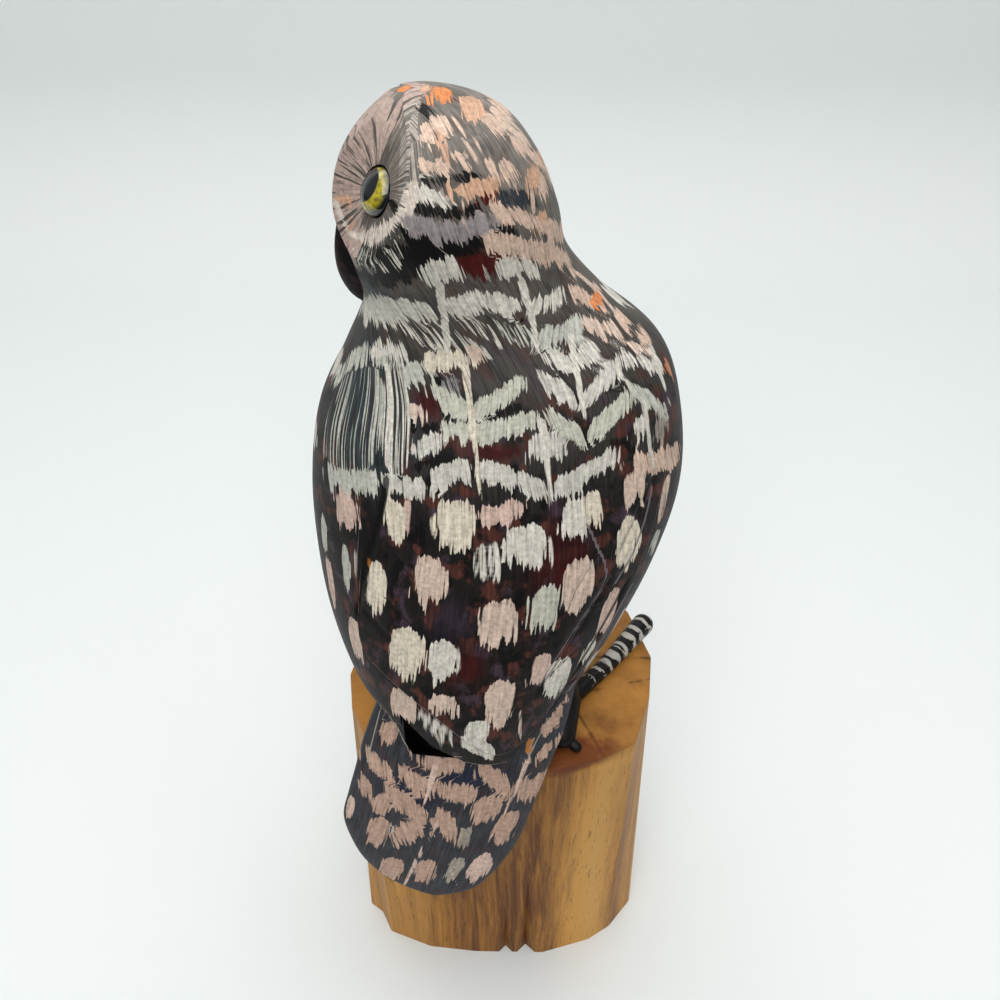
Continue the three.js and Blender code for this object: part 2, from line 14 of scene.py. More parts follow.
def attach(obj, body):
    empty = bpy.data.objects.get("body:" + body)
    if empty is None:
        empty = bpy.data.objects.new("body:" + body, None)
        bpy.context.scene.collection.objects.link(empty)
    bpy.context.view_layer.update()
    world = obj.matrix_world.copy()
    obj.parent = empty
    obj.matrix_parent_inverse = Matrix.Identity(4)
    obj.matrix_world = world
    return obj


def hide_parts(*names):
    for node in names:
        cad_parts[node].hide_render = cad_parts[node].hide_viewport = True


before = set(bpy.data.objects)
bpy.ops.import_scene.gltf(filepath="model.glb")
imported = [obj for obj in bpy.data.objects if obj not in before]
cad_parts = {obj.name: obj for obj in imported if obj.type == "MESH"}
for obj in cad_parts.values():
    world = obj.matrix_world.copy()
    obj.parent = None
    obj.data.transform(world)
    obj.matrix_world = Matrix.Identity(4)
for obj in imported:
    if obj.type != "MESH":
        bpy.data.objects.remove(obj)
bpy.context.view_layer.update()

log = logging.getLogger("owl")
MM = 0.001
Array = np.ndarray
Point2 = tuple[float, float]
Point3 = tuple[float, float, float]
Piece = bpy.types.Object
Socket = bpy.types.NodeSocket
Colour = tuple[float, float, float, float]


def linear(hex_colour: str) -> Colour:
    """Turns an sRGB hex colour into linear light.

    Args:
        hex_colour: six hex digits, such as "d8cfc0".

    Returns:
        Linear red, green and blue, and an alpha of 1.
    """
    shares = [int(hex_colour[i:i + 2], 16) / 255 for i in (0, 2, 4)]
    red, green, blue = (s / 12.92 if s <= 0.04045 else ((s + 0.055) / 1.055) ** 2.4 for s in shares)
    return red, green, blue, 1.0


# The view the carving is seen in


@dataclass(frozen=True)
class MainView:
    """The camera: behind the owl's back and above it, looking down.

    The brushwork below is laid out in this view, in thousandths of the picture's width from its
    top left corner, and then put on the carved surface.
    """

    place: Point3 = (0.0, 155.05, 243.22)
    pitch: float = math.radians(38.16)
    reach: float = 1000.0
    middle: float = 500.0

    def axes(self) -> tuple[Array, Array, Array]:
        """Returns the directions to the picture's right, up and away."""
        away = np.array([0.0, -math.cos(self.pitch), -math.sin(self.pitch)])
        up = np.array([0.0, -math.sin(self.pitch), math.cos(self.pitch)])
        return np.array([-1.0, 0.0, 0.0]), up, away

    def ray(self, spot: Point2) -> tuple[Array, Array]:
        """Casts a sight line.

        Args:
            spot: a place in the picture.

        Returns:
            The line's start in millimetres and its direction.
        """
        right, up, away = self.axes()
        direction = away + right * (spot[0] - self.middle) / self.reach
        direction = direction + up * (self.middle - spot[1]) / self.reach
        return np.array(self.place), direction / np.linalg.norm(direction)

    def make_camera(self) -> None:
        """Adds the camera and makes it the scene's own."""
        data = bpy.data.cameras.new("main_view")
        data.lens = 36.0
        data.sensor_width = 36.0
        data.clip_start = 0.01
        data.clip_end = 20.0
        camera = bpy.data.objects.new("main_view", data)
        bpy.context.scene.collection.objects.link(camera)
        camera.location = Vector(self.place) * MM
        camera.rotation_euler = (math.pi / 2 - self.pitch, 0.0, math.pi)
        bpy.context.scene.camera = camera


VIEW = MainView()


# Shapes: stacks of rounded slices


def smooth_rows(rows: Array, position: Array) -> Array:
    """Follows a smooth curve through equally spaced rows of values.

    Args:
        rows: one row of values per slice.
        position: where to read the curve, counted in slices.

    Returns:
        One row of values per position.
    """
    last = len(rows) - 1
    position = np.asarray(position, float)
    index = np.clip(np.floor(position).astype(int), 0, last - 1)
    t = (position - index)[..., None]
    a, b, c, d = (rows[np.clip(index + step, 0, last)] for step in (-1, 0, 1, 2))
    square = (2 * a - 5 * b + 4 * c - d) * t ** 2
    cube = (3 * b - a - 3 * c + d) * t ** 3
    return 0.5 * (2 * b + (c - a) * t + square + cube)


def smoothstep(value: Array, low: float, high: float) -> Array:
    """Returns 0 below low, 1 above high and a smooth rise between."""
    share = np.clip((np.asarray(value, float) - low) / (high - low), 0, 1)
    return share * share * (3 - 2 * share)


def wrapped(degrees: Array) -> Array:
    """Returns angles as -180 to 180 degrees."""
    return (degrees + 540) % 360 - 180


def one_point(place: Sequence[float], count: int) -> Array:
    """Returns a row that is one point, many times over."""
    return np.broadcast_to(np.array(place), (count, 3))


@dataclass(frozen=True)
class Sections:
    """A stack of slices, lowest first: height, reach left, right, back and front, and squareness.

    Squareness is 2 for an ellipse and more for a boxier slice.
    """

    rows: tuple[tuple[float, ...], ...]
    domed: bool = True
    samples: int = 4000

    def steps(self) -> Array:
        """Returns positions close together, all the way up."""
        return np.linspace(0, len(self.rows) - 1, self.samples)

    def at(self, position: Array) -> Array:
        """Reads the stack. Past a domed end its slices mirror.

        Args:
            position: positions counted in slices.

        Returns:
            The slice's values at each.
        """
        rows = [list(row) for row in self.rows]
        if self.domed:
            z, left, right, back, front, square = rows[-2]
            rows.append([z, right, left, front, back, square])
        return smooth_rows(np.array(rows), position)

    def position(self, height: Array) -> Array:
        """Returns the positions at which the stack reaches heights."""
        return np.interp(height, self.at(self.steps())[:, 0], self.steps())

    def rise(self, position: Array) -> Array:
        """Measures along the back's surface.

        Args:
            position: positions counted in slices.

        Returns:
            How far along each lies, in millimetres.
        """
        slices = self.at(self.steps())
        half = (slices[:, 3] - slices[:, 4]) / 2
        length = np.cumsum(np.hypot(np.diff(slices[:, 0]), np.diff(half)))
        return np.interp(position, self.steps(), np.concatenate([[0.0], length]))


def outline(slices: Array, bearing: Array, outwards: Array) -> Array:
    """Places points on the outlines of slices.

    Args:
        slices: one slice per point.
        bearing: the bearings in radians, from +Y towards +X.
        outwards: how far to move each point outwards.

    Returns:
        One point per slice.
    """
    half_x = np.maximum((slices[..., 1] - slices[..., 2]) / 2, 1e-3)
    half_y = np.maximum((slices[..., 3] - slices[..., 4]) / 2, 1e-3)
    sin, cos, square = np.sin(bearing), np.cos(bearing), slices[..., 5]
    radius = (np.abs(sin / half_x) ** square + np.abs(cos / half_y) ** square) ** (-1 / square) + outwards
    x = (slices[..., 1] + slices[..., 2]) / 2 + radius * sin
    y = (slices[..., 3] + slices[..., 4]) / 2 + radius * cos
    return np.stack([x, y, slices[..., 0]], axis=-1)


def edge_height(marks: Sequence[Point2], degrees: Array) -> Array:
    """Follows an edge round the body.

    Args:
        marks: the edge's bearings in degrees and heights.
        degrees: the bearings to read it at.

    Returns:
        Its height at each bearing.
    """
    table = np.array(marks)
    share = np.interp(degrees, table[:, 0], np.arange(len(table)))
    return smooth_rows(table[:, 1:], share)[..., 0]


def skin(points: Array, name: str, region: int = 0) -> Piece:
    """Wraps a grid into a closed skin.

    Args:
        points: rows by columns of points in millimetres, with the last column on the first and
            the first and last row each drawn together in one point.
        name: the piece's name.
        region: the number kept on each face.

    Returns:
        The piece, closed and facing outwards.
    """
    rows, columns = points.shape[:2]
    work = bmesh.new()
    bmesh.ops.create_grid(work, x_segments=columns - 1, y_segments=rows - 1, size=1.0)
    places = np.array([vert.co[:2] for vert in work.verts])
    column = np.rint((places[:, 0] + 1) / 2 * (columns - 1)).astype(int)
    row = np.rint((places[:, 1] + 1) / 2 * (rows - 1)).astype(int)
    for vert, place in zip(work.verts, points[row, column] * MM):
        vert.co = place
    bmesh.ops.remove_doubles(work, verts=work.verts, dist=2e-6)
    bmesh.ops.recalc_face_normals(work, faces=work.faces)
    return finish_mesh(work, name, region)


def finish_mesh(work: bmesh.types.BMesh, name: str, region: int = 0) -> Piece:
    """Turns a worked mesh into a piece.

    Args:
        work: the mesh, in metres. It is used up.
        name: the piece's name.
        region: the number kept on each face.

    Returns:
        The piece, placed at the origin.
    """
    mesh = bpy.data.meshes.new(name)
    work.to_mesh(mesh)
    work.free()
    kept = mesh.attributes.new("region", "INT", "FACE")
    kept.data.foreach_set("value", np.full(len(mesh.polygons), region, np.int32))
    piece = bpy.data.objects.new(name, mesh)
    bpy.context.scene.collection.objects.link(piece)
    return piece


def prism(work: bmesh.types.BMesh, places: Iterable[Sequence[float]], along: Sequence[float]) -> list:
    """Makes a face and extrudes it.

    Args:
        work: the mesh to work in.
        places: the face's corners, in order.
        along: how far and which way it is extruded.

    Returns:
        The corners of the far end.
    """
    face = work.faces.new([work.verts.new(place) for place in places])
    made = bmesh.ops.extrude_face_region(work, geom=[face])["geom"]
    moved = [item for item in made if isinstance(item, bmesh.types.BMVert)]
    bmesh.ops.translate(work, verts=moved, vec=along)
    return moved


def read_values(items: Sequence, field: str, width: int = 1, kind: type = float) -> Array:
    """Reads one field of every item of a mesh.

    Args:
        items: the mesh's vertices, corners or faces, or an attribute's values.
        field: the field's name.
        width: how many numbers each item has.
        kind: the numbers' type.

    Returns:
        One number or one row per item.
    """
    values = np.zeros(len(items) * width, kind)
    items.foreach_get(field, values)
    return values if width == 1 else values.reshape(-1, width)


def vertex_places(piece: Piece) -> Array:
    """Returns a piece's vertices in millimetres."""
    return read_values(piece.data.vertices, "co", 3) / MM


def keep_values(piece: Piece, name: str, values: Array, domain: str = "POINT") -> None:
    """Keeps values on a piece.

    Args:
        piece: the piece.
        name: what the values are called.
        values: one number, three, or the four of a colour for each item.
        domain: what has the values, POINT or CORNER.
    """
    kinds = {1: ("FLOAT", "value"), 3: ("FLOAT_VECTOR", "vector"), 4: ("FLOAT_COLOR", "color")}
    kind, field = kinds[values.size // len(values)]
    kept = piece.data.attributes.new(name, kind, domain)
    kept.data.foreach_set(field, np.ascontiguousarray(values, np.float32).ravel())


def combine(piece: Piece, others: Iterable[Piece], how: str) -> None:
    """Joins other solids to a piece, or cuts them from it, and removes them.

    Args:
        piece: the solid that is kept.
        others: the solids that are joined or cut.
        how: UNION or DIFFERENCE.
    """
    for other in others:
        step = piece.modifiers.new("combine", "BOOLEAN")
        step.operation = how
        step.solver = "MANIFOLD"
        step.object = other
        bpy.context.view_layer.update()
        shown = piece.evaluated_get(bpy.context.evaluated_depsgraph_get())
        result = bpy.data.meshes.new_from_object(shown)
        piece.modifiers.clear()
        piece.data = result
        bpy.data.objects.remove(other)


def lathe(profile: Sequence[Point2], sides: int, frame_matrix: Matrix, name: str) -> Piece:
    """Turns a profile about its axis.

    Args:
        profile: radius and height in millimetres, lowest first, with both ends on the axis.
        sides: how many steps go round.
        frame_matrix: where the axis goes, in millimetres.
        name: the piece's name.

    Returns:
        The turned solid.
    """
    work = bmesh.new()
    verts = [work.verts.new((radius, 0.0, height)) for radius, height in profile]
    edges = [work.edges.new(pair) for pair in zip(verts, verts[1:])]
    bmesh.ops.spin(work, geom=verts + edges, cent=(0, 0, 0), axis=(0, 0, 1), angle=2 * math.pi,
                   steps=sides, use_merge=True)
    bmesh.ops.remove_doubles(work, verts=work.verts, dist=1e-4)
    bmesh.ops.recalc_face_normals(work, faces=work.faces)
    bmesh.ops.transform(work, matrix=Matrix.Scale(MM, 4) @ frame_matrix, verts=work.verts)
    if frame_matrix.determinant() < 0:
        bmesh.ops.reverse_faces(work, faces=work.faces)
    return finish_mesh(work, name)


def smooth_shading(piece: Piece, degrees: float) -> None:
    """Shades a piece smoothly, with edges sharper than an angle kept."""
    piece.data.shade_smooth()
    piece.data.set_sharp_from_angle(angle=math.radians(degrees))


# The carved block


class Region(Enum):
    """The parts of the carved block that are painted in different ways."""

    BACK = 1
    BREAST = 2
    TAIL = 3
    BEAK = 4


@dataclass(frozen=True)
class FaceFrame:
    """How the head is turned, and the shallow dish that holds each eye."""

    bearing: float = 82.0
    axis: Point3 = (8.0, 0.0, 0.0)
    dish_bearing: float = 35.0
    dish_height: float = 188.5
    dish_half_width: float = 33.0
    dish_half_height: float = 11.0
    dish_rise: float = 0.12
    dish_depth: float = 4.0
    dish_power: float = 0.8
    eye: Point3 = (18.0, 9.8, 187.4)
    aim: Point3 = (0.74, 0.46, 0.49)

    def forward(self) -> Array:
        """Returns the direction the face looks in."""
        angle = math.radians(90 - self.bearing)
        return np.array([math.cos(angle), math.sin(angle), 0.0])

    def side(self) -> Array:
        """Returns the direction across the face, towards the owl's left eye."""
        forward = self.forward()
        return np.array([-forward[1], forward[0], 0.0])

    def inside(self, degrees: Array, height: Array) -> Array:
        """Tells what lies in a dish.

        Args:
            degrees: bearings.
            height: heights in millimetres.

        Returns:
            1 in the middle of a dish, 0 on its rim and less outside.
        """
        off = np.abs(wrapped(degrees - self.bearing)) - self.dish_bearing
        up = (height - self.dish_height - self.dish_rise * off) / self.dish_half_height
        return 1 - (off / self.dish_half_width) ** 2 - up ** 2

    def depth(self, degrees: Array, height: Array) -> Array:
        """Returns how far the dishes are carved in."""
        return self.dish_depth * np.maximum(self.inside(degrees, height), 0) ** self.dish_power

    def eye_matrix(self, left: bool) -> Matrix:
        """Places an eye.

        Args:
            left: true for the owl's left eye, false for its mirror image.

        Returns:
            Where the bead's axis goes, in millimetres.
        """
        place, aim = Vector(self.eye), Vector(self.aim).normalized()
        if not left:
            normal = Vector(self.side())
            centre = Vector(self.axis)
            place = centre + (place - centre).reflect(normal)
            aim = aim.reflect(normal)
        return Matrix.Translation(place) @ Vector((0, 0, 1)).rotation_difference(aim).to_matrix().to_4x4()

    def around_eye(self, points: Array) -> tuple[Array, Array]:
        """Measures points round the nearer eye.

        Args:
            points: places in millimetres.

        Returns:
            The angle in degrees, 0 up and 90 to the rear, and the distance, at each point.
        """
        centre, normal = np.array(self.axis), self.side()
        offset = points - centre
        across = offset @ normal
        offset = offset - np.minimum(across, 0)[..., None] * 2 * normal
        offset = offset - (np.array(self.eye) - centre)
        aim = np.array(self.aim) / np.linalg.norm(self.aim)
        up = np.array([0, 0, 1.0]) - aim[2] * aim
        up /= np.linalg.norm(up)
        rear = np.cross(up, aim)
        rear = rear if rear[0] < 0 else -rear
        return np.degrees(np.arctan2(offset @ rear, offset @ up)), np.hypot(offset @ rear, offset @ up)


FACE = FaceFrame()


@dataclass(frozen=True)
class Mantle:
    """The head, back and folded wings, down to the wings' edge."""

    slices: Sections = Sections((
        (80, 23, -12, 36.5, -19, 2.1), (88, 26.5, -15.5, 38, -21, 2.1), (97, 31, -19.5, 37.8, -23, 2.1),
        (108, 34, -25.5, 36, -25, 2.15), (120, 35.2, -30.5, 33.5, -26.5, 2.2),
        (133, 35, -33.6, 30.5, -27, 2.2), (146, 32.5, -32.5, 26.8, -25, 2.2),
        (157, 27, -28.5, 22, -21.5, 2.1), (166, 23.2, -18, 18, -18.5, 2), (174, 24.4, -11.3, 18, -18, 2),
        (182, 26.5, -9.2, 18.8, -18.3, 2), (190, 24.8, -5.8, 17, -16.8, 2),
        (196.4, 19.7, 0.4, 11.8, -12, 2), (199.7, 13.2, 13.2, 0, 0, 2)))
    crown: Point3 = (13.2, 0.0, 199.7)
    hollow: Point3 = (3.0, 4.0, 125.0)
    wing_edge: tuple[Point2, ...] = (
        (-180, 160), (-140, 157), (-118, 143), (-100, 127), (-84, 115.2), (-72, 106), (-60, 99.2),
        (-47, 95), (-34, 92.3), (-27, 89.4), (-21, 86.8), (-10, 86.5), (2, 88.2), (14, 90.6), (26, 93.6),
        (41, 95.6), (62, 99.6), (74, 107), (90, 116), (105, 127), (120, 143), (140, 157),
        (180, 160))
    layer_edge: tuple[Point2, ...] = (
        (-180, 168), (-140, 166), (-110, 162), (-84, 156), (-68, 147), (-58, 136), (-50, 123),
        (-44, 113), (-36, 104), (-28, 96.6), (-18, 91.6), (-9, 90.6), (-2, 93.7), (10, 99.4),
        (20, 103), (32, 106.4), (39, 108.4), (43, 112), (45, 123), (47.5, 138), (54, 150), (68, 157),
        (100, 162), (140, 166), (180, 168))
    rim_thickness: float = 2.2
    rim_radius: float = 0.8
    layer_step: float = 0.9
    layer_ramp: float = 0.75
    fade: Point2 = (122.0, 146.0)
    groove: float = 0.22
    columns: int = 316
    wing_rows: int = 48
    back_rows: int = 160
    mm_per_degree: float = 0.6
    most_stretch: float = 8.0
    hidden_from: float = 105.0
    seam_rows: tuple[float, ...] = (0.25, 0.45, 0.62, 0.78, 0.9, 1.0, 1.1, 1.2, 1.32, 1.45, 1.6, 1.8)

    def bearings(self) -> Array:
        """Returns the columns' bearings in degrees, closer on the back and at the steep edge."""
        degrees = np.linspace(180, -180, 3601)
        density = np.where(np.abs(degrees) < self.hidden_from, 1.0, 0.5)
        density += 3 * np.exp(-((degrees - 44.8) / 2.2) ** 2) + 0.8 * np.exp(-((degrees + 50) / 8) ** 2)
        total = np.concatenate([[0.0], np.cumsum((density[1:] + density[:-1]) / 2)])
        return np.interp(np.linspace(0, total[-1], self.columns + 1), total, degrees)

    def stretch(self, edge: Array, degrees: Array) -> Array:
        """Returns how much taller than wide the step is along an edge, from its heights at bearings."""
        return np.clip(np.hypot(1, np.gradient(edge, degrees) / self.mm_per_degree), 1, self.most_stretch)

    def grid(self) -> Array:
        """Returns the rows of points from the hollow up to the crown."""
        degrees = self.bearings()
        bearing = np.radians(degrees)
        start = edge_height(self.wing_edge, degrees)
        seam = edge_height(self.layer_edge, degrees)
        stretch = self.stretch(seam, degrees)
        rows = [one_point(self.hollow, len(degrees)),
                self.surface(bearing, start, np.full_like(start, -self.rim_thickness))]
        for angle in np.linspace(0, math.pi / 2, 5):
            inset = -self.rim_radius * (1 - math.sin(angle))
            height = start + self.rim_radius * (1 - math.cos(angle))
            rows.append(self.surface(bearing, height, np.full_like(start, inset)))
        low = start + self.rim_radius
        first = np.maximum(seam - stretch, low + 0.4)
        for share in np.linspace(0, 1, self.wing_rows + 1)[1:]:
            rows.append(self.relief_row(bearing, low + (first - low) * share, seam, stretch))
        for offset in self.seam_rows:
            rows.append(self.relief_row(bearing, first + stretch * offset, seam, stretch))
        lowest = self.slices.rise(self.slices.position(first + stretch * 2))
        steps = self.slices.steps()
        rises = self.slices.rise(steps)
        for share in np.linspace(0, 1, self.back_rows + 1)[:-1]:
            position = np.interp(lowest + (rises[-1] - lowest) * share, rises, steps)
            rows.append(self.relief_row(bearing, self.slices.at(position)[:, 0], seam, stretch, position))
        rows.append(one_point(self.crown, len(degrees)))
        return np.stack(rows)

    def surface(self, bearing: Array, height: Array, outwards: Array) -> Array:
        """Returns points on the smooth form at heights."""
        return outline(self.slices.at(self.slices.position(height)), bearing, outwards)

    def relief_row(self, bearing: Array, height: Array, seam: Array, stretch: Array,
                   position: Array | None = None) -> Array:
        """Returns a row of points with the feather layer's step and the dishes of the face.

        Args:
            bearing: the columns' bearings in radians.
            height: the row's height in each column.
            seam: the layer edge's height in each column.
            stretch: how much taller than wide the step is in each column.
            position: the row's positions in the stack of slices, where they are known.

        Returns:
            One point per column.
        """
        above = (height - seam) / stretch
        strength = 1 - smoothstep(height, *self.fade)
        relief = self.layer_step * smoothstep(above, 0.0, self.layer_ramp)
        relief = relief - self.groove * np.exp(-((above + 0.22) / 0.25) ** 2)
        depth = FACE.depth(wrapped(np.degrees(bearing)), height)
        position = self.slices.position(height) if position is None else position
        return outline(self.slices.at(position), bearing, relief * strength - depth)

    def build(self) -> Piece:
        """Makes the solid."""
        return skin(self.grid(), "owl", Region.BACK.value)


@dataclass(frozen=True)
class Core:
    """The breast, belly and flanks, which lie inside the folded wings."""

    slices: Sections = Sections((
        (80.3, 14, -11, 23, -14, 2.1), (86, 18, -13, 27, -18.5, 2.1), (96, 25, -18.5, 31, -22.5, 2.1),
        (108, 29.5, -25, 30.5, -25.5, 2.1), (121, 31.5, -29.5, 28.5, -27.5, 2.1),
        (135, 31.5, -30.5, 26, -27.5, 2.1), (148, 28.5, -27.5, 22, -24.5, 2.1),
        (160, 22, -19, 16, -19, 2), (172, 15, -6, 8, -10, 2)), domed=False)
    foot: Point3 = (1.0, 4.0, 80.3)
    top: Point3 = (5.0, 0.0, 172.0)
    columns: int = 140
    rows: int = 64

    def build(self) -> Piece:
        """Makes the solid."""
        bearing = np.linspace(math.pi, -math.pi, self.columns + 1)
        rows = [one_point(self.foot, len(bearing))]
        for position in np.linspace(0, len(self.slices.rows) - 1, self.rows + 1):
            slices = np.broadcast_to(self.slices.at(position), (len(bearing), 6))
            rows.append(outline(slices, bearing, np.zeros_like(bearing)))
        rows.append(one_point(self.top, len(bearing)))
        return skin(np.stack(rows), "core", Region.BREAST.value)


@dataclass(frozen=True)
class Tail:
    """The tail, a cambered board that widens and ends in a round tip behind the stump."""

    rows: tuple[tuple[float, ...], ...] = (
        (102, 20, -14.5, 31, 9), (92, 24, -12.6, 34, 7.4), (84, 27, -10, 36.3, 6.2),
        (76, 29.3, -7.5, 38.2, 5.6), (70, 31, -5.7, 39.3, 5.2), (64, 32.4, -4, 40.2, 5),
        (58.6, 31.2, -1.4, 40.9, 4.9), (53.6, 28.6, 1.8, 41.3, 4.4), (49.8, 23.4, 5.8, 41.5, 3.8),
        (48, 14, 14, 41.4, 2.2))
    root: Point3 = (3.0, 26.0, 102.0)
    tip_crowding: float = 1.5
    side_power: float = 0.8
    face_power: float = 0.7
    camber: float = 2.6
    half_width: float = 18.0
    turn: float = 0.14
    centre: float = 11.5
    columns: int = 132
    steps: int = 96

    def build(self) -> Piece:
        """Makes the solid."""
        table = np.array(self.rows)
        z, left, right, outer, thickness = table[-2]
        table = np.vstack([table, [z, right, left, outer, thickness]])
        angle = np.linspace(0, 2 * math.pi, self.columns + 1)
        rings = [one_point(self.root, len(angle))]
        for step in range(self.steps):
            from_tip = (1 - step / self.steps) ** self.tip_crowding
            z, left, right, outer, thickness = smooth_rows(table, (len(self.rows) - 1) * (1 - from_tip))
            across, face = np.cos(angle), np.sin(angle)
            mid = (left + right) / 2
            x = mid + (left - right) / 2 * np.sign(across) * np.abs(across) ** self.side_power
            bow = self.camber * ((x - mid) / self.half_width) ** 2
            middle = outer - thickness / 2 - bow - self.turn * (x - self.centre)
            y = middle + thickness / 2 * np.sign(face) * np.abs(face) ** self.face_power
            rings.append(np.stack([x, y, np.full_like(x, z)], axis=-1))
        z, left, _, outer, thickness = self.rows[-1]
        rings.append(one_point((left, outer - thickness / 2, z), len(angle)))
        return skin(np.stack(rings[::-1]), "tail", Region.TAIL.value)


@dataclass(frozen=True)
class Beak:
    """The beak, a ridge that hooks down over the throat: height, reach forward and half width."""

    rows: tuple[Point3, ...] = (
        (184, 16.4, 0.7), (179.5, 18.2, 1.8), (175, 19, 2.7), (171, 18.7, 2.6), (167.6, 17.2, 1.8),
        (165.6, 15.2, 0.8))
    root: float = 10.0
    end_back: float = 2.8
    end_beyond: float = 0.5
    columns: int = 40
    steps: int = 36

    def build(self) -> Piece:
        """Makes the solid."""
        table = np.array(self.rows)
        angle = np.linspace(0, 2 * math.pi, self.columns + 1)
        (high, high_reach, _), (low, low_reach, _) = self.rows[0], self.rows[-1]
        middle = np.zeros_like(angle)
        rings = [self.place(high_reach - self.end_back, middle, high + self.end_beyond)]
        for position in np.linspace(0, len(table) - 1, self.steps + 1):
            z, reach, half = smooth_rows(table, position)
            forward = (reach + self.root) / 2 + (reach - self.root) / 2 * np.cos(angle)
            rings.append(self.place(forward, half * np.sin(angle), z))
        rings.append(self.place(low_reach - self.end_back, middle, low - self.end_beyond))
        return skin(np.stack(rings[::-1]), "beak", Region.BEAK.value)

    def place(self, reach: Array | float, across: Array, z: float) -> Array:
        """Places a ring of points.

        Args:
            reach: how far forward of the head's axis each is.
            across: how far to its left each is.
            z: their height.

        Returns:
            One point for each.
        """
        forward = np.asarray(reach)[..., None] * FACE.forward()
        points = np.array(FACE.axis) + forward + across[:, None] * FACE.side()
        points[:, 2] = z
        return points


@dataclass(frozen=True)
class Pocket:
    """The undercut between the left wing's edge and the tail: its corners as seen from behind."""

    corners: tuple[Point3, ...] = (
        (18.6, 33.4, 97.4), (18.2, 33.6, 88.6), (16.8, 34.2, 86.2), (6.4, 37, 88), (12.6, 36.2, 91.4))
    depth: float = 4.5
    outward: Point3 = (0.0, 0.786, 0.618)

    def build(self) -> Piece:
        """Makes the cutter."""
        outward = Vector(self.outward).normalized() * self.depth
        work = bmesh.new()
        prism(work, [(Vector(corner) - outward) * MM for corner in self.corners], outward * 2 * MM)
        bmesh.ops.triangulate(work, faces=work.faces)
        bmesh.ops.recalc_face_normals(work, faces=work.faces)
        return finish_mesh(work, "pocket")


@dataclass(frozen=True)
class Eye:
    """An eye bead, a dome on a short flat-backed stem."""

    left: bool
    radius: float = 3.7
    bulge: float = 2.3
    depth: float = 2.4
    back_share: float = 0.8
    sides: int = 96
    steps: int = 40

    def build(self, name: str, grow: float = 0.0) -> Piece:
        """Makes the bead, or its socket's cutter where it is grown.

        Args:
            name: what it is called.
            grow: how much larger a cutter is on every side.

        Returns:
            The bead or the cutter.
        """
        radius, back = self.radius + grow, -self.depth - grow
        profile = [(0.0, back), (radius * self.back_share, back)]
        for angle in np.linspace(0, math.pi / 2, self.steps + 1):
            profile.append((radius * math.cos(angle), (self.bulge + grow) * math.sin(angle)))
        profile[-1] = (0.0, self.bulge + grow)
        return lathe(profile, self.sides, FACE.eye_matrix(self.left), name)

    def dress(self, piece: Piece) -> None:
        """Keeps each point's place on the bead, as seen along its axis.

        Args:
            piece: the bead.
        """
        angle, distance = FACE.around_eye(vertex_places(piece))
        turned = np.radians(angle)
        flat = [distance * np.sin(turned), distance * np.cos(turned), np.zeros_like(angle)]
        keep_values(piece, "bead", np.stack(flat, axis=-1))


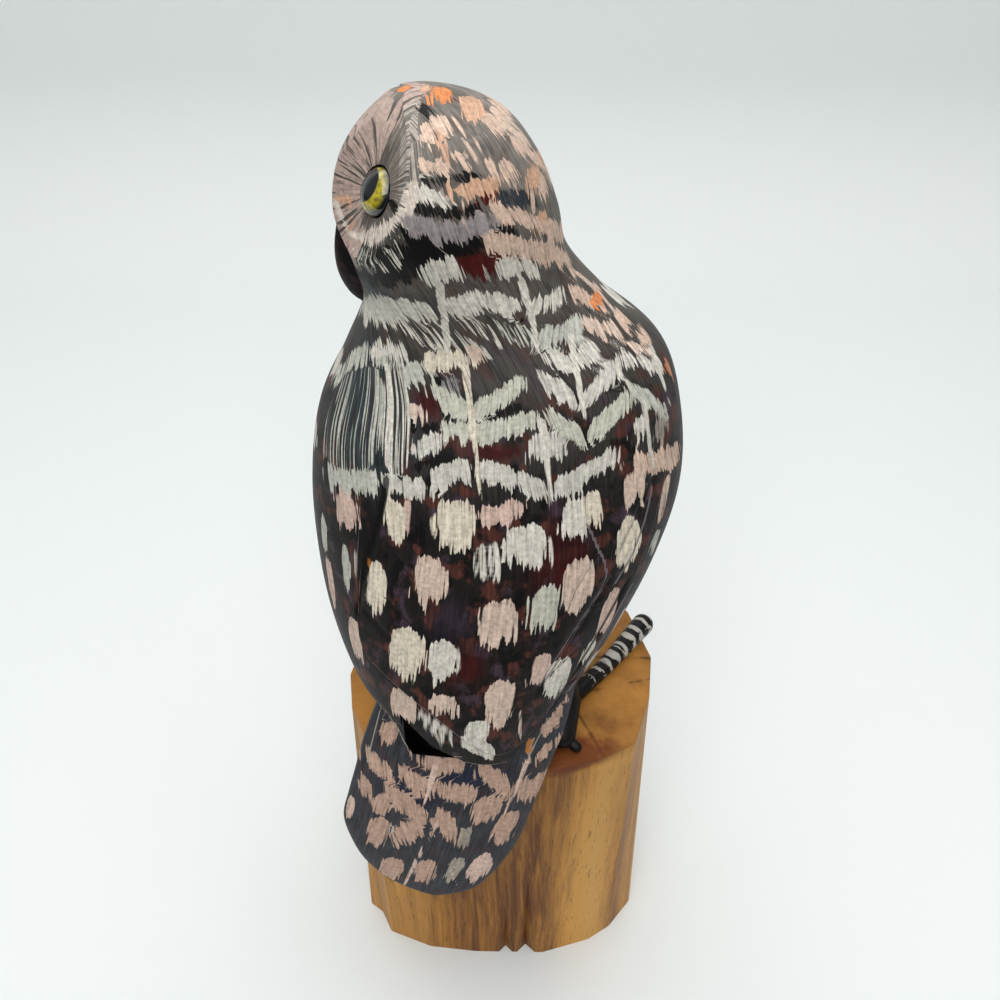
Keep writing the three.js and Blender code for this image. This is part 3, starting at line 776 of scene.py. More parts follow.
@dataclass(frozen=True)
class Foot:
    """A foot: two toes forward, one to the rear with its claw, and the ankle they meet at.

    Each bar is given by its two ends and the radius at each.
    """

    right: bool
    bars: tuple[tuple[Point3, Point3, float, float], ...] = (
        ((-13.6, 19, 83.4), (-22.6, 8.2, 82.4), 1.8, 1.8),
        ((-22.6, 8.2, 82.4), (-31.9, -4, 82.7), 1.8, 2.4),
        ((-13.6, 19, 83.4), (-15.5, 3, 82.4), 1.8, 1.8),
        ((-15.5, 3, 82.4), (-16.5, -12.5, 82.7), 1.8, 2.4),
        ((-13.6, 19, 83.4), (-12.4, 27, 83), 3.0, 2.7),
        ((-12.4, 27, 83), (-15.2, 28.8, 81.4), 1.1, 1.1),
        ((-13.6, 19, 83.4), (-11.5, 15.5, 92), 3.0, 3.6))
    toe_bars: int = 4
    middle: float = 0.6
    sides: int = 28
    end_steps: int = 7

    def build(self, name: str, grow: float = 0.0) -> Piece:
        """Makes the foot, or its cutter where it is grown.

        Args:
            name: what it is called.
            grow: how much larger a cutter is on every side.

        Returns:
            The foot or the cutter.
        """
        pieces = [self.bar(*bar, grow) for bar in self.bars]
        foot = pieces[0]
        foot.name = name
        combine(foot, pieces[1:], "UNION")
        return foot

    def along_toes(self, points: Array) -> Array:
        """Measures along the toes.

        Args:
            points: places on the foot, in millimetres.

        Returns:
            Distance along the toe, height, and 0 on the toes or less up the leg, at each point.
        """
        if not self.right:
            points = points * np.array([-1, 1, 1]) + np.array([2 * self.middle, 0, 0])
        best = np.full(len(points), 99.0)
        along = np.zeros(len(points))
        leg = np.zeros(len(points))
        ankle = np.array(self.bars[0][0])
        for number, (low, high, low_radius, high_radius) in enumerate(self.bars):
            a, edge = np.array(low), np.array(high) - np.array(low)
            share = np.clip((points - a) @ edge / (edge @ edge), 0, 1)
            radius = low_radius + (high_radius - low_radius) * share
            far = np.linalg.norm(points - a - share[:, None] * edge, axis=1) - radius
            closer = far < best
            best = np.where(closer, far, best)
            start = np.linalg.norm(a - ankle)
            along = np.where(closer, start + (points - a) @ edge / np.linalg.norm(edge), along)
            shade = -1.2 * (1 - smoothstep(along, 6, 13)) if number < self.toe_bars else -2.0
            leg = np.where(closer, shade, leg)
        return np.stack([along, points[:, 2], leg], axis=-1)

    def dress(self, piece: Piece) -> None:
        """Keeps where each point lies along the toes."""
        keep_values(piece, "toe", self.along_toes(vertex_places(piece)))

    def bar(self, low: Point3, high: Point3, low_radius: float, high_radius: float, grow: float) -> Piece:
        """Makes a round bar with round ends.

        Args:
            low: one end.
            high: the other end.
            low_radius: the radius at the first end.
            high_radius: the radius at the other end.
            grow: how much thicker a cutter is.

        Returns:
            The bar.
        """
        first, last = Vector(low), Vector(high)
        length = (last - first).length
        low_radius, high_radius = low_radius + grow, high_radius + grow
        profile = []
        for angle in np.linspace(-math.pi / 2, 0, self.end_steps + 1):
            profile.append((low_radius * math.cos(angle), low_radius * math.sin(angle)))
        for angle in np.linspace(0, math.pi / 2, self.end_steps + 1):
            profile.append((high_radius * math.cos(angle), length + high_radius * math.sin(angle)))
        profile[0], profile[-1] = (0.0, -low_radius), (0.0, length + high_radius)
        turn = Vector((0, 0, 1)).rotation_difference((last - first).normalized()).to_matrix().to_4x4()
        place = Matrix.Translation(first) @ turn
        if not self.right:
            place = Matrix.Diagonal((-1, 1, 1, 1)) @ place
            place = Matrix.Translation((2 * self.middle, 0, 0)) @ place
        return lathe(profile, self.sides, place, "bar")


@dataclass(frozen=True)
class Stump:
    """The log stump the owl stands on: its corners' plan places at the top and at the foot."""

    corners: tuple[tuple[float, float, float, float], ...] = (
        (32.4, 8, 34, 8), (31, 17.2, 33.4, 15.2), (29.8, 19.6, 30.2, 17.6), (27.3, 25.3, 27.6, 22.8),
        (19, 28.4, 17.4, 26.8), (9, 29.6, 6, 28.1), (-10, 33.3, -10.5, 28.4), (-19.5, 30.6, -22.2, 25),
        (-27.2, 26.8, -27.8, 21.4), (-31.6, 14.5, -33.6, 14.5), (-33.3, 3, -34.6, 3),
        (-29.6, -11, -30.6, -11.5), (-19, -25.5, -19.5, -25.5), (-2, -32, -2, -31.5),
        (16, -28, 16, -27.5), (28.4, -13, 28.8, -13))
    height: float = 80.0
    rear_wall: float = 28.4
    rear_lean: float = 2.2
    overrun: float = 8.0
    under: float = 1.0
    grooves: tuple[tuple[float, float, float, float], ...] = (
        (-1.4, 1.9, 1.9, 36), (-6.4, 2.3, 2.4, 40))
    facets: tuple[Point3, ...] = ((0.9, -39, 7), (0.315, -75, 18), (0.25, 50, 22), (-0.22, 0, 26))
    rows: int = 24
    edge_radius: float = 0.45

    def build(self) -> Piece:
        """Makes the stump with its edges eased and its grooves cut."""
        work = bmesh.new()
        for vert in prism(work, [(x, y, 0.0) for _, _, x, y in self.corners], (0, 0, self.height)):
            vert.co.xy = next((x, y) for x, y, foot_x, foot_y in self.corners
                              if abs(foot_x - vert.co.x) + abs(foot_y - vert.co.y) < 1e-3)
        bmesh.ops.recalc_face_normals(work, faces=work.faces)
        upright = [edge for edge in work.edges if abs(edge.verts[0].co.z - edge.verts[1].co.z) > 1]
        rim = [edge for edge in work.edges if min(vert.co.z for vert in edge.verts) > self.height - 1]
        bmesh.ops.bevel(work, geom=upright + rim, offset=self.edge_radius, offset_type="OFFSET",
                        affect="EDGES", segments=3, profile=0.5, material=-1)
        upright = [edge for edge in work.edges if abs(edge.verts[0].co.z - edge.verts[1].co.z) > 20]
        bmesh.ops.subdivide_edges(work, edges=upright, cuts=self.rows, use_grid_fill=True)
        bmesh.ops.triangulate(work, faces=work.faces)
        bmesh.ops.scale(work, verts=work.verts, vec=(MM, MM, MM))
        stump = finish_mesh(work, "stump_wood_block")
        combine(stump, [self.groove(*groove) for groove in self.grooves], "DIFFERENCE")
        return stump

    def groove(self, x: float, depth: float, half_width: float, height: float) -> Piece:
        """Makes the wedge that cuts a groove. It leans out, so it is deepest at the foot.

        Args:
            x: the groove's place along the rear wall.
            depth: its depth at the foot.
            half_width: its half width there.
            height: how far up it reaches.

        Returns:
            The cutter.
        """
        outer = self.rear_wall + self.overrun
        spread = half_width * (1 + self.overrun / depth)
        work = bmesh.new()
        corners = ((x, self.rear_wall - depth), (x + spread, outer), (x - spread, outer))
        length = height + 2 * self.under
        lean = (depth + self.rear_lean) / height * length
        prism(work, [(px, py, -self.under) for px, py in corners], (0, lean, length))
        bmesh.ops.recalc_face_normals(work, faces=work.faces)
        bmesh.ops.scale(work, verts=work.verts, vec=(MM, MM, MM))
        return finish_mesh(work, "groove")

    def dress(self, piece: Piece) -> None:
        """Marks the stump's sawn end, its paler facets and its darker one.

        Args:
            piece: the stump.
        """
        points = vertex_places(piece)
        keep_values(piece, "end_grain", smoothstep(points[:, 2], 79.3, 79.8))
        bearing = np.degrees(np.arctan2(points[:, 0], points[:, 1]))
        keep_values(piece, "facet", sum(share * np.exp(-((bearing - middle) / half) ** 4)
                                        for share, middle, half in self.facets))


# Brushwork


class Tone(Enum):
    """The paints and the bare wood, as sRGB hex; some also serve as painted sheen, shade and highlight."""

    CREAM = "e2d8c3"
    PINK_CREAM = "d9c2b1"
    WHITE = "ddd8cb"
    GREY_GREEN = "c9c8b8"
    GREY_WHITE = "c3c3b7"
    TAIL_PINK = "be9f8c"
    BAR = "d3cfc4"
    PEACH = "d3a98c"
    PALE_PEACH = "d8bca8"
    ORANGE = "e08b52"
    DAB = "c1805e"
    LILAC = "989090"
    FACE_PINK = "b8a297"
    FACE_WHITE = "e0d4c6"
    SPOT_PINK = "d8bcad"
    TAUPE = "948a80"
    GREY = "8a8a88"
    RIDGE = "b5aba0"
    MAROON = "3c0a08"
    DARK_RED = "4c120e"
    BLACK = "070606"
    SOFT_BLACK = "191514"
    SLATE = "33383d"
    NAVY = "1b2236"
    SMOKE = "3b3734"
    ASH = "5a5550"
    STONE = "857d76"
    FACE_GREY = "5f5c54"
    PURPLE = "2e2430"
    SHOULDER = "353f42"
    TAIL_SLATE = "34363b"
    BUFF = "c9b393"
    UMBER = "4a3528"
    CHIP = "b9742f"
    EDGE_PALE = "a39a8c"
    # Grey-lilac painted highlight along the right wing's carved edges.
    EDGE_HIGHLIGHT = "756d72"


class Chart(Enum):
    """The sets of surface coordinates that the brush follows."""

    BODY = 1
    BREAST = 2
    FACE = 3
    TAIL = 4
    CROWN = 5


@dataclass(frozen=True)
class Flow:
    """Surface coordinates in millimetres: across the brush strokes and along them, downwards."""

    mantle: Mantle
    body_scale: float = 24.0
    face_scale: float = 8.0
    tail_lean: float = 0.28
    tail_height: float = 70.0
    left_rows: tuple[Point2, ...] = ((125, 0), (138, 0.2), (150, 0.2), (165, 0.25), (172, 0))
    right_rows: tuple[Point2, ...] = ((138, 0), (146, -0.12), (164, -0.12), (172, 0))
    crown_turn: float = 35.0
    crown_height: float = 195.5
    lean_rows: tuple[Point2, ...] = (
        (80, 0.04), (138, 0.05), (148, 0.1), (165, 0.2), (172, 0.3), (200, 0.3))
    even_height: float = 150.0
    heights: Point2 = (81, 197)

    def lean(self, height: Array, rows: tuple[Point2, ...]) -> Array:
        """Adds up how the strokes lean.

        Args:
            height: the heights to read.
            rows: heights and how many millimetres the strokes move sideways for each one up.

        Returns:
            How far the strokes have moved sideways at each height.
        """
        steps = np.linspace(60, 201, 600)
        rates = np.interp(steps, *np.array(rows).T)
        moved = np.cumsum(rates) * (steps[1] - steps[0])
        return np.interp(height, steps, moved - np.interp(self.even_height, steps, moved))

    def bearing(self, points: Array) -> Array:
        """Measures bearings from the body's axis.

        Args:
            points: places in millimetres.

        Returns:
            Their bearings in radians.
        """
        height = np.clip(points[..., 2], *self.heights)
        slices = self.mantle.slices.at(self.mantle.slices.position(height))
        x = points[..., 0] - (slices[..., 1] + slices[..., 2]) / 2
        y = points[..., 1] - (slices[..., 3] + slices[..., 4]) / 2
        return np.arctan2(x, y)

    def body(self, points: Array) -> Array:
        """Returns body coordinates."""
        return self.body_at(self.bearing(points), points[..., 2])

    def body_at(self, bearing: Array, height: Array) -> Array:
        """Reads the body's coordinates.

        Args:
            bearing: bearings from the body's axis, in radians.
            height: heights in millimetres.

        Returns:
            The place across the strokes and along them, for each.
        """
        degrees = np.degrees(bearing)
        share = 1 - 0.6 * smoothstep(degrees, 60, 120) - 0.8 * smoothstep(-degrees, -10, 55)
        left, right = smoothstep(degrees, 14, 45), smoothstep(-degrees, 0, 45)
        across = self.body_scale * bearing - self.lean(height, self.lean_rows) * share
        across -= self.lean(height, self.left_rows) * left + self.lean(height, self.right_rows) * right
        along = -self.mantle.slices.rise(self.mantle.slices.position(height))
        return np.stack([across, along], axis=-1)

    def face(self, points: Array) -> Array:
        """Returns coordinates round the nearer eye."""
        angle, distance = FACE.around_eye(points)
        return np.stack([np.radians(angle) * self.face_scale, distance], axis=-1)

    def tail(self, points: Array) -> Array:
        """Returns tail coordinates."""
        return self.tail_at(points[..., 0], points[..., 2])

    def tail_at(self, x: Array, height: Array) -> Array:
        """Returns tail coordinates at places along X and heights."""
        return np.stack([x + self.tail_lean * (height - self.tail_height), -height], axis=-1)

    def crown(self, points: Array) -> Array:
        """Reads coordinates on the crown, seen from above.

        Args:
            points: places in millimetres.

        Returns:
            The place across the strokes and along them, for each.
        """
        turn = math.radians(self.crown_turn)
        x, y = points[..., 0], points[..., 1]
        across = -x * math.cos(turn) - y * math.sin(turn)
        return np.stack([across, y * math.cos(turn) - x * math.sin(turn)], axis=-1)

    def read(self, chart: Chart, points: Array) -> Array:
        """Returns the coordinates of points in a chart."""
        readers = {Chart.BODY: self.body, Chart.BREAST: self.body, Chart.FACE: self.face,
                   Chart.TAIL: self.tail, Chart.CROWN: self.crown}
        return readers[chart](points)


@dataclass(frozen=True)
class Mark:
    """One mark of the brush.

    A mark follows its spine, which has one place or several. A bar's spine runs across the
    strokes and a shaft's runs along them. The strokes follow the chart, or else lean by so much
    to the right for each step down the picture. Fine strokes are as thin as hairs.
    """

    tone: Tone
    spine: tuple[Point2, ...]
    up: float
    down: float
    side: float
    rag: float = 0.85
    cap: float = 9.0
    chart: Chart = Chart.BODY
    shaft: bool = False
    placed: bool = False
    layer: str = "mark"
    lean: float | None = None
    fine: bool = False


def spot(tone: Tone, x: float, y: float, half: float, up: float, down: float, **more: object) -> Mark:
    """Returns a round mark."""
    return Mark(tone, ((x, y),), up, down, half, **{"rag": 1.35, **more})


def bar(tone: Tone, places: Sequence[Point2], up: float, down: float, side: float = 4.0,
        **more: object) -> Mark:
    """Returns a mark made of short strokes side by side."""
    return Mark(tone, tuple(places), up, down, side, **more)


def shaft(tone: Tone, places: Sequence[Point2], start: float, end: float, **more: object) -> Mark:
    """Returns a long stroke that narrows from one half width to another."""
    return Mark(tone, tuple(places), start, end, 2.0, shaft=True, **{"rag": 0.14, **more})


@dataclass(frozen=True)
class Patch:
    """A soft area where the ground is another colour. Its sizes are in the picture's units."""

    tone: Tone
    x: float
    y: float
    half_width: float
    half_height: float
    strength: float = 0.9
    chart: Chart = Chart.BODY


@dataclass(frozen=True)
class CarvedLine:
    """A line cut into the wood, as places in the picture.

    Its depth is in millimetres and its half width too. Its tone lies along it.
    """

    tone: Tone
    places: tuple[Point2, ...]
    half: float = 0.3
    depth: float = 0.0
    spread: float = 0.5


LAYERS = ("under", "mark", "over")


class Painter:
    """Puts the brushwork on the carved block, as values on the corners of its faces."""

    regions = {Chart.BODY: Region.BACK, Chart.FACE: Region.BACK, Chart.CROWN: Region.BACK,
               Chart.BREAST: Region.BREAST, Chart.TAIL: Region.TAIL}
    grounds = {Region.BACK: Tone.SOFT_BLACK, Region.BREAST: Tone.BUFF, Region.TAIL: Tone.TAIL_SLATE,
               Region.BEAK: Tone.BLACK}
    # The back's ground greys with height towards the crown: painted sheen.
    head_sheen_grounds = ((138, Tone.SOFT_BLACK), (158, Tone.SMOKE), (178, Tone.ASH), (190, Tone.STONE))
    picture_middle = (490, 450)
    picture_pull = (0.4, 0.2)
    tries = 60
    probe = 2.5
    probe_reach = 6.0
    margin = 3.0
    roundness = 2.5

    def __init__(self, piece: Piece, flow: Flow) -> None:
        """Reads the carved block.

        Args:
            piece: the block.
            flow: the coordinates that the brush follows.
        """
        self.piece, self.flow = piece, flow
        work = bmesh.new()
        work.from_mesh(piece.data)
        self.tree = BVHTree.FromBMesh(work)
        work.free()
        self.face_region = read_values(piece.data.attributes["region"].data, "value", 1, np.int32)

    def hit(self, spot_place: Point2) -> Array | None:
        """Looks at the surface through a place in the picture.

        Args:
            spot_place: the place.

        Returns:
            The point seen, in millimetres, or None.
        """
        start, direction = VIEW.ray(spot_place)
        found = self.tree.ray_cast(Vector(start) * MM, Vector(direction))[0]
        return None if found is None else np.array(found) / MM

    def place(self, chart: Chart, x: float, y: float) -> tuple[Array, float, float, Array]:
        """Finds a place of the picture in a chart.

        Args:
            chart: the chart.
            x: the place in the picture, from the left.
            y: the place in the picture, from the top.

        Returns:
            The chart coordinates, how many millimetres one picture unit is across and along, and how
            the coordinates change to the picture's right and down it.
        """
        inward = 0
        point = self.hit((x, y))
        (middle_x, middle_y), (pull_x, pull_y) = self.picture_middle, self.picture_pull
        while point is None and inward < self.tries:
            inward += 1
            share = inward / self.tries
            point = self.hit((x + (middle_x - x) * share * pull_x, y + (middle_y - y) * share * pull_y))
        if point is None:
            raise ValueError(f"nothing is seen near {x}, {y}")
        here = self.flow.read(chart, point)
        turns = []
        for dx, dy, unknown in ((self.probe, 0.0, [0.3, 0.0]), (0.0, self.probe, [0.0, 0.3])):
            rates = []
            for sign in (-1, 1):
                other = self.hit((x + sign * dx, y + sign * dy))
                if other is not None and np.linalg.norm(other - point) < self.probe_reach:
                    rates.append((self.flow.read(chart, other) - here) * sign / self.probe)
            turns.append(np.mean(rates, axis=0) if rates else np.array(unknown))
        backwards = np.linalg.pinv(np.array(turns).T, rcond=0.05)
        across, along = 1 / np.maximum(np.linalg.norm(backwards, axis=0), 1e-3)
        across, along = float(np.clip(across, 0.08, 0.8)), float(np.clip(along, 0.12, 0.8))
        return here, across, along, np.array(turns)

    def read_corners(self) -> None:
        """Reads the corners' places and their coordinates in each chart."""
        mesh = self.piece.data
        totals = read_values(mesh.polygons, "loop_total", 1, np.int32)
        self.corner_face = np.repeat(np.arange(len(totals)), totals)
        self.points = vertex_places(self.piece)[read_values(mesh.loops, "vertex_index", 1, np.int32)]
        self.region = self.face_region[self.corner_face]
        bearing = self.flow.bearing(self.points)
        low, high = np.full(len(totals), 9.0), np.full(len(totals), -9.0)
        np.minimum.at(low, self.corner_face, bearing)
        np.maximum.at(high, self.corner_face, bearing)
        crossing = (high - low > math.pi)[self.corner_face]
        self.bearing = np.where(crossing & (bearing < 0), bearing + 2 * math.pi, bearing)
        degrees = wrapped(np.degrees(self.bearing))
        self.dish = FACE.inside(degrees, self.points[:, 2])
        front = (np.abs(degrees - FACE.bearing) < 32) & (self.points[:, 2] > 184)
        self.dish = np.where(front, np.maximum(self.dish, (self.dish + 1.3) * 0.1), self.dish)
        body = self.flow.body_at(self.bearing, self.points[:, 2])
        self.coordinates = {Chart.BODY: body, Chart.BREAST: body}
        for chart in (Chart.FACE, Chart.TAIL, Chart.CROWN):
            self.coordinates[chart] = self.flow.read(chart, self.points)

    def in_chart(self, mark: Mark) -> tuple[Array, Array, Array, Array, float]:
        """Finds a mark in its chart.

        Args:
            mark: the mark.

        Returns:
            Its spine, its reach up, down and sideways at each place, and its skew.
        """
        spine, ups, downs, sides, skews = [], [], [], [], [0.0]
        last = max(len(mark.spine) - 1, 1)
        for index, (x, y) in enumerate(mark.spine):
            if mark.placed:
                place, across, along = self.placed(mark.chart, x, y)
            else:
                place, across, along, turns = self.place(mark.chart, x, y)
                if mark.lean is not None:
                    stroke = turns[0] * mark.lean + turns[1]
                    along = max(abs(stroke[1]), 0.12)
                    skews.append(float(np.clip(-stroke[0] / along, -1.5, 1.5)))
            spine.append(place)
            if mark.shaft:
                half = mark.up + (mark.down - mark.up) * index / last
                ups.append(half * across)
                downs.append(half * across)
                sides.append(mark.side * along)
            else:
                ups.append(mark.up * along)
                downs.append(mark.down * along)
                sides.append(mark.side * across)
        skew = sum(skews) / max(len(skews) - 1, 1)
        return np.array(spine), np.array(ups), np.array(downs), np.array(sides), skew

    def placed(self, chart: Chart, x: float, y: float) -> tuple[Array, float, float]:
        """Finds a place that is given on the object, with sizes in millimetres.

        Args:
            chart: the chart.
            x: bearing in degrees, angle round the eye in degrees, or place along X.
            y: height, distance from the eye, or height.

        Returns:
            The chart coordinates, and how much one millimetre is across and along.
        """
        flow = self.flow
        if chart is Chart.FACE:
            place = np.array([math.radians(x) * flow.face_scale, y])
            return place, flow.face_scale / max(y, 3.0), 1.0
        if chart is Chart.TAIL:
            return flow.tail_at(x, y), 1.0, 1.0
        slices = flow.mantle.slices.at(flow.mantle.slices.position(y))
        radius = ((slices[1] - slices[2]) + (slices[3] - slices[4])) / 4
        return flow.body_at(np.radians(x), np.array(y)), flow.body_scale / max(radius, 6.0), 1.0

    def reach_in(self, mark: Mark) -> tuple[Array, Array, Array, Array]:
        """Finds how deep inside a mark the corners near it lie.

        Args:
            mark: the mark.

        Returns:
            The corners' numbers, their depth in millimetres, which is negative outside, how ragged
            the mark is there, which is negative for fine strokes, and how far its strokes have moved
            sideways there. The ends that the brush left last are the most ragged.
        """
        spine, ups, downs, sides, skew = self.in_chart(mark)
        main, other = (1, 0) if mark.shaft else (0, 1)
        order = np.argsort(spine[:, main])
        spine, ups, downs, sides = spine[order], ups[order], downs[order], sides[order]
        where = self.coordinates[mark.chart]
        middle = (spine[0, main] + spine[-1, main]) / 2
        half = (spine[-1, main] - spine[0, main]) / 2 + sides.mean()
        tall = max(ups.max(), downs.max())
        least, most = spine[:, other].min(), spine[:, other].max()
        near = np.abs(where[:, main] - middle) < half + self.margin + abs(skew) * (tall + self.margin)
        near &= np.abs(where[:, other] - (least + most) / 2) < (most - least) / 2 + tall + self.margin
        near &= self.region == self.regions[mark.chart].value
        if mark.chart is Chart.FACE:
            near &= self.dish > -0.55
        if mark.chart is Chart.CROWN:
            near &= self.points[:, 2] > 185
        corners = np.nonzero(near)[0]
        along, off = where[corners, main], where[corners, other]
        line = np.interp(along, spine[:, main], spine[:, other])
        moved = np.zeros_like(along)
        for _ in range(3 if skew else 0):
            moved = skew * (off - line)
            line = np.interp(along + moved, spine[:, main], spine[:, other])
        along = along + moved
        up = np.interp(along, spine[:, main], ups)
        down = np.interp(along, spine[:, main], downs)
        high = np.where(off < line, up, down)
        taper = min(half, 1.5 if mark.shaft else 1.25 * tall)
        ends = np.maximum(np.abs(along - middle) - (half - taper), 0) / taper
        ratio = ends ** self.roundness + np.abs((off - line) / high) ** self.roundness
        ratio = ratio ** (1 / self.roundness)
        first = 0.35 if len(mark.spine) == 1 else 0.6
        rag = mark.rag * (first + (1 - first) * smoothstep((off - line) / high, -0.6, 0.5))
        return corners, np.minimum(high * (1 - ratio), mark.cap), -rag if mark.fine else rag, moved

    def lay(self, marks: Sequence[Mark]) -> tuple[Array, Array]:
        """Lays marks over each other.

        Args:
            marks: the marks.

        Returns:
            Depth, raggedness and sideways move at each corner, and the tone there.
        """
        values = np.zeros((len(self.points), 3), np.float32)
        values[:, 0] = -9.0
        tones = np.zeros((len(self.points), 4), np.float32)
        tones[:] = linear(Tone.CREAM.value)
        for mark in marks:
            corners, *reach = self.reach_in(mark)
            better = reach[0] > values[corners, 0]
            values[corners[better]] = np.stack(reach, axis=-1)[better]
            tones[corners[better]] = linear(mark.tone.value)
        return values, tones

    def ground(self, patches: Sequence[Patch]) -> Array:
        """Colours the ground, greyed towards the crown as painted sheen.

        Args:
            patches: the areas of another colour.

        Returns:
            The colour at each corner, with how blotchy it is as its alpha.
        """
        colours = np.zeros((len(self.points), 4), np.float32)
        for region, tone in self.grounds.items():
            colours[self.region == region.value] = linear(tone.value)
        back = self.region == Region.BACK.value
        # Painted sheen: the ground greys with height and is less blotchy near the crown.
        rows = np.array([(height, *linear(tone.value)) for height, tone in self.head_sheen_grounds])
        for channel in range(3):
            colours[back, channel] = np.interp(self.points[back, 2], rows[:, 0], rows[:, channel + 1])
        colours[:, 3] = np.where(back, 1 - 0.65 * smoothstep(self.points[:, 2], 146, 165), 0.25)
        for patch in patches:
            middle, across, along, _ = self.place(patch.chart, patch.x, patch.y)
            where = self.coordinates[patch.chart]
            far = ((where[:, 0] - middle[0]) / (patch.half_width * across)) ** 2
            far = far + ((where[:, 1] - middle[1]) / (patch.half_height * along)) ** 2
            inside = self.region == self.regions[patch.chart].value
            weight = patch.strength * np.exp(-far ** 1.5) * inside
            colours += (np.array([*linear(patch.tone.value)[:3], 0.2]) - colours) * weight[:, None]
        return colours

    def trace(self, line: CarvedLine) -> Array:
        """Casts a carved line on the surface.

        Args:
            line: the line.

        Returns:
            Its places on the surface, close together.
        """
        table = np.array(line.places, float)
        steps = np.concatenate([[0.0], np.cumsum(np.hypot(*np.diff(table, axis=0).T))])
        spaced = np.linspace(0, steps[-1], max(int(steps[-1] / 3), 2))
        spots = zip(np.interp(spaced, steps, table[:, 0]), np.interp(spaced, steps, table[:, 1]))
        found = [self.hit(place) for place in spots]
        return np.array([point for point in found if point is not None])

    def beside(self, places: Array, points: Array) -> tuple[Array, Array]:
        """Measures points against a line on the surface.

        Args:
            places: the line's places.
            points: the points to measure.

        Returns:
            The signed distance from the line, and how far each point lies past the line's ends.
        """
        best = np.full(len(points), 99.0)
        side = np.zeros(len(points))
        past = np.zeros(len(points))
        outward = points - np.array([5.0, 0.0, 0.0])
        outward[:, 2] = 0
        for index, (a, b) in enumerate(zip(places, places[1:])):
            edge = b - a
            length = max(float(edge @ edge), 1e-9)
            share = (points - a) @ edge / length
            held = np.clip(share, 0, 1)
            offset = points - a - held[:, None] * edge
            distance = np.linalg.norm(offset, axis=1)
            closer = distance < best
            best = np.where(closer, distance, best)
            side = np.where(closer, np.einsum("ij,ij->i", np.cross(edge, offset), outward), side)
            end = np.zeros(len(points))
            if index == 0:
                end = np.maximum(end, -share)
            if index == len(places) - 2:
                end = np.maximum(end, share - 1)
            past = np.where(closer, end * math.sqrt(length), past)
        return best * np.sign(side), past

    def carve(self, lines: Sequence[CarvedLine]) -> None:
        """Cuts the lines that are deep enough to show as form.

        Args:
            lines: the lines.
        """
        mesh = self.piece.data
        points = vertex_places(self.piece)
        normals = read_values(mesh.vertex_normals, "vector", 3)
        sink = np.zeros(len(points))
        for line in [line for line in lines if line.depth]:
            places = self.trace(line)
            low, high = places.min(0) - 4, places.max(0) + 4
            near = np.nonzero(np.all((points > low) & (points < high), axis=1))[0]
            distance, past = self.beside(places, points[near])
            cut = line.depth * np.exp(-(distance / line.spread) ** 2) * np.exp(-past ** 2)
            sink[near] = np.maximum(cut, sink[near])
        points = points - normals * sink[:, None]
        mesh.vertices.foreach_set("co", (points * MM).astype(np.float32).ravel())
        mesh.update()

    def draw(self, lines: Sequence[CarvedLine]) -> tuple[Array, Array]:
        """Draws lines.

        Args:
            lines: the lines.

        Returns:
            Signed distance and half width at each corner, and the tone there.
        """
        values = np.zeros((len(self.points), 3), np.float32)
        values[:, 0] = 9.0
        tones = np.zeros((len(self.points), 4), np.float32)
        # Lines start in the pale tone of the edges' painted highlight.
        tones[:] = linear(Tone.EDGE_PALE.value)
        self.draw_edge_highlights(values)
        for line in lines:
            places = self.trace(line)
            low, high = places.min(0) - 3, places.max(0) + 3
            near = np.nonzero(np.all((self.points > low) & (self.points < high), axis=1))[0]
            distance, past = self.beside(places, self.points[near])
            closer = (np.abs(distance) < np.abs(values[near, 0])) & (np.abs(distance) < 2.2)
            near, distance, past = near[closer], distance[closer], past[closer]
            values[near, 0] = distance
            shown = (1 - smoothstep(np.abs(distance), 1.2, 2.0)) * (1 - smoothstep(past, 0.0, 0.6))
            values[near, 1] = line.half * shown
            tones[near] = linear(line.tone.value)
        return values, tones

    def draw_edge_highlights(self, values: Array) -> None:
        """Draws pale lines just above the edges of the wings and of the feather layer over them, as painted
        highlight.

        Args:
            values: signed distance and half width at each corner, which are filled in.
        """
        mantle = self.flow.mantle
        degrees = wrapped(np.degrees(self.bearing))
        height = self.points[:, 2]
        steps = np.linspace(-180, 180, 1441)
        whole = np.ones_like(height)
        fading = 1 - smoothstep(height, *mantle.fade)
        for marks, offset, half, shown in ((mantle.wing_edge, 0.55, 0.15, whole),
                                           (mantle.layer_edge, 0.62, 0.16, fading)):
            edge = edge_height(marks, steps)
            stretch = np.interp(degrees, steps, mantle.stretch(edge, steps))
            above = (height - np.interp(degrees, steps, edge)) / stretch - offset
            near = (np.abs(above) < 1.2) & (np.abs(above) < np.abs(values[:, 0]))
            near &= self.region == Region.BACK.value
            values[near, 0] = above[near]
            values[near, 1] = (half * shown * (1 - smoothstep(np.abs(above), 0.6, 1.1)))[near]

    def flow_values(self) -> Array:
        """Returns the coordinates the brush follows at each corner, with a number for the region."""
        on_face = (self.dish > -0.12) & (self.region == Region.BACK.value)
        by_face = np.zeros(self.face_region.shape, bool)
        np.logical_or.at(by_face, self.corner_face, on_face)
        on_face = by_face[self.corner_face]
        where = np.where(on_face[:, None], self.coordinates[Chart.FACE], self.coordinates[Chart.BODY])
        where = np.where((self.region == Region.TAIL.value)[:, None], self.coordinates[Chart.TAIL], where)
        low = np.full(self.face_region.shape, 999.0)
        np.minimum.at(low, self.corner_face, self.points[:, 2])
        on_crown = (low[self.corner_face] > self.flow.crown_height) & ~on_face
        where = np.where(on_crown[:, None], self.coordinates[Chart.CROWN], where)
        kind = self.region * 7.0 + on_face * 3.0 + on_crown * 5.0
        return np.column_stack([where, kind]).astype(np.float32)

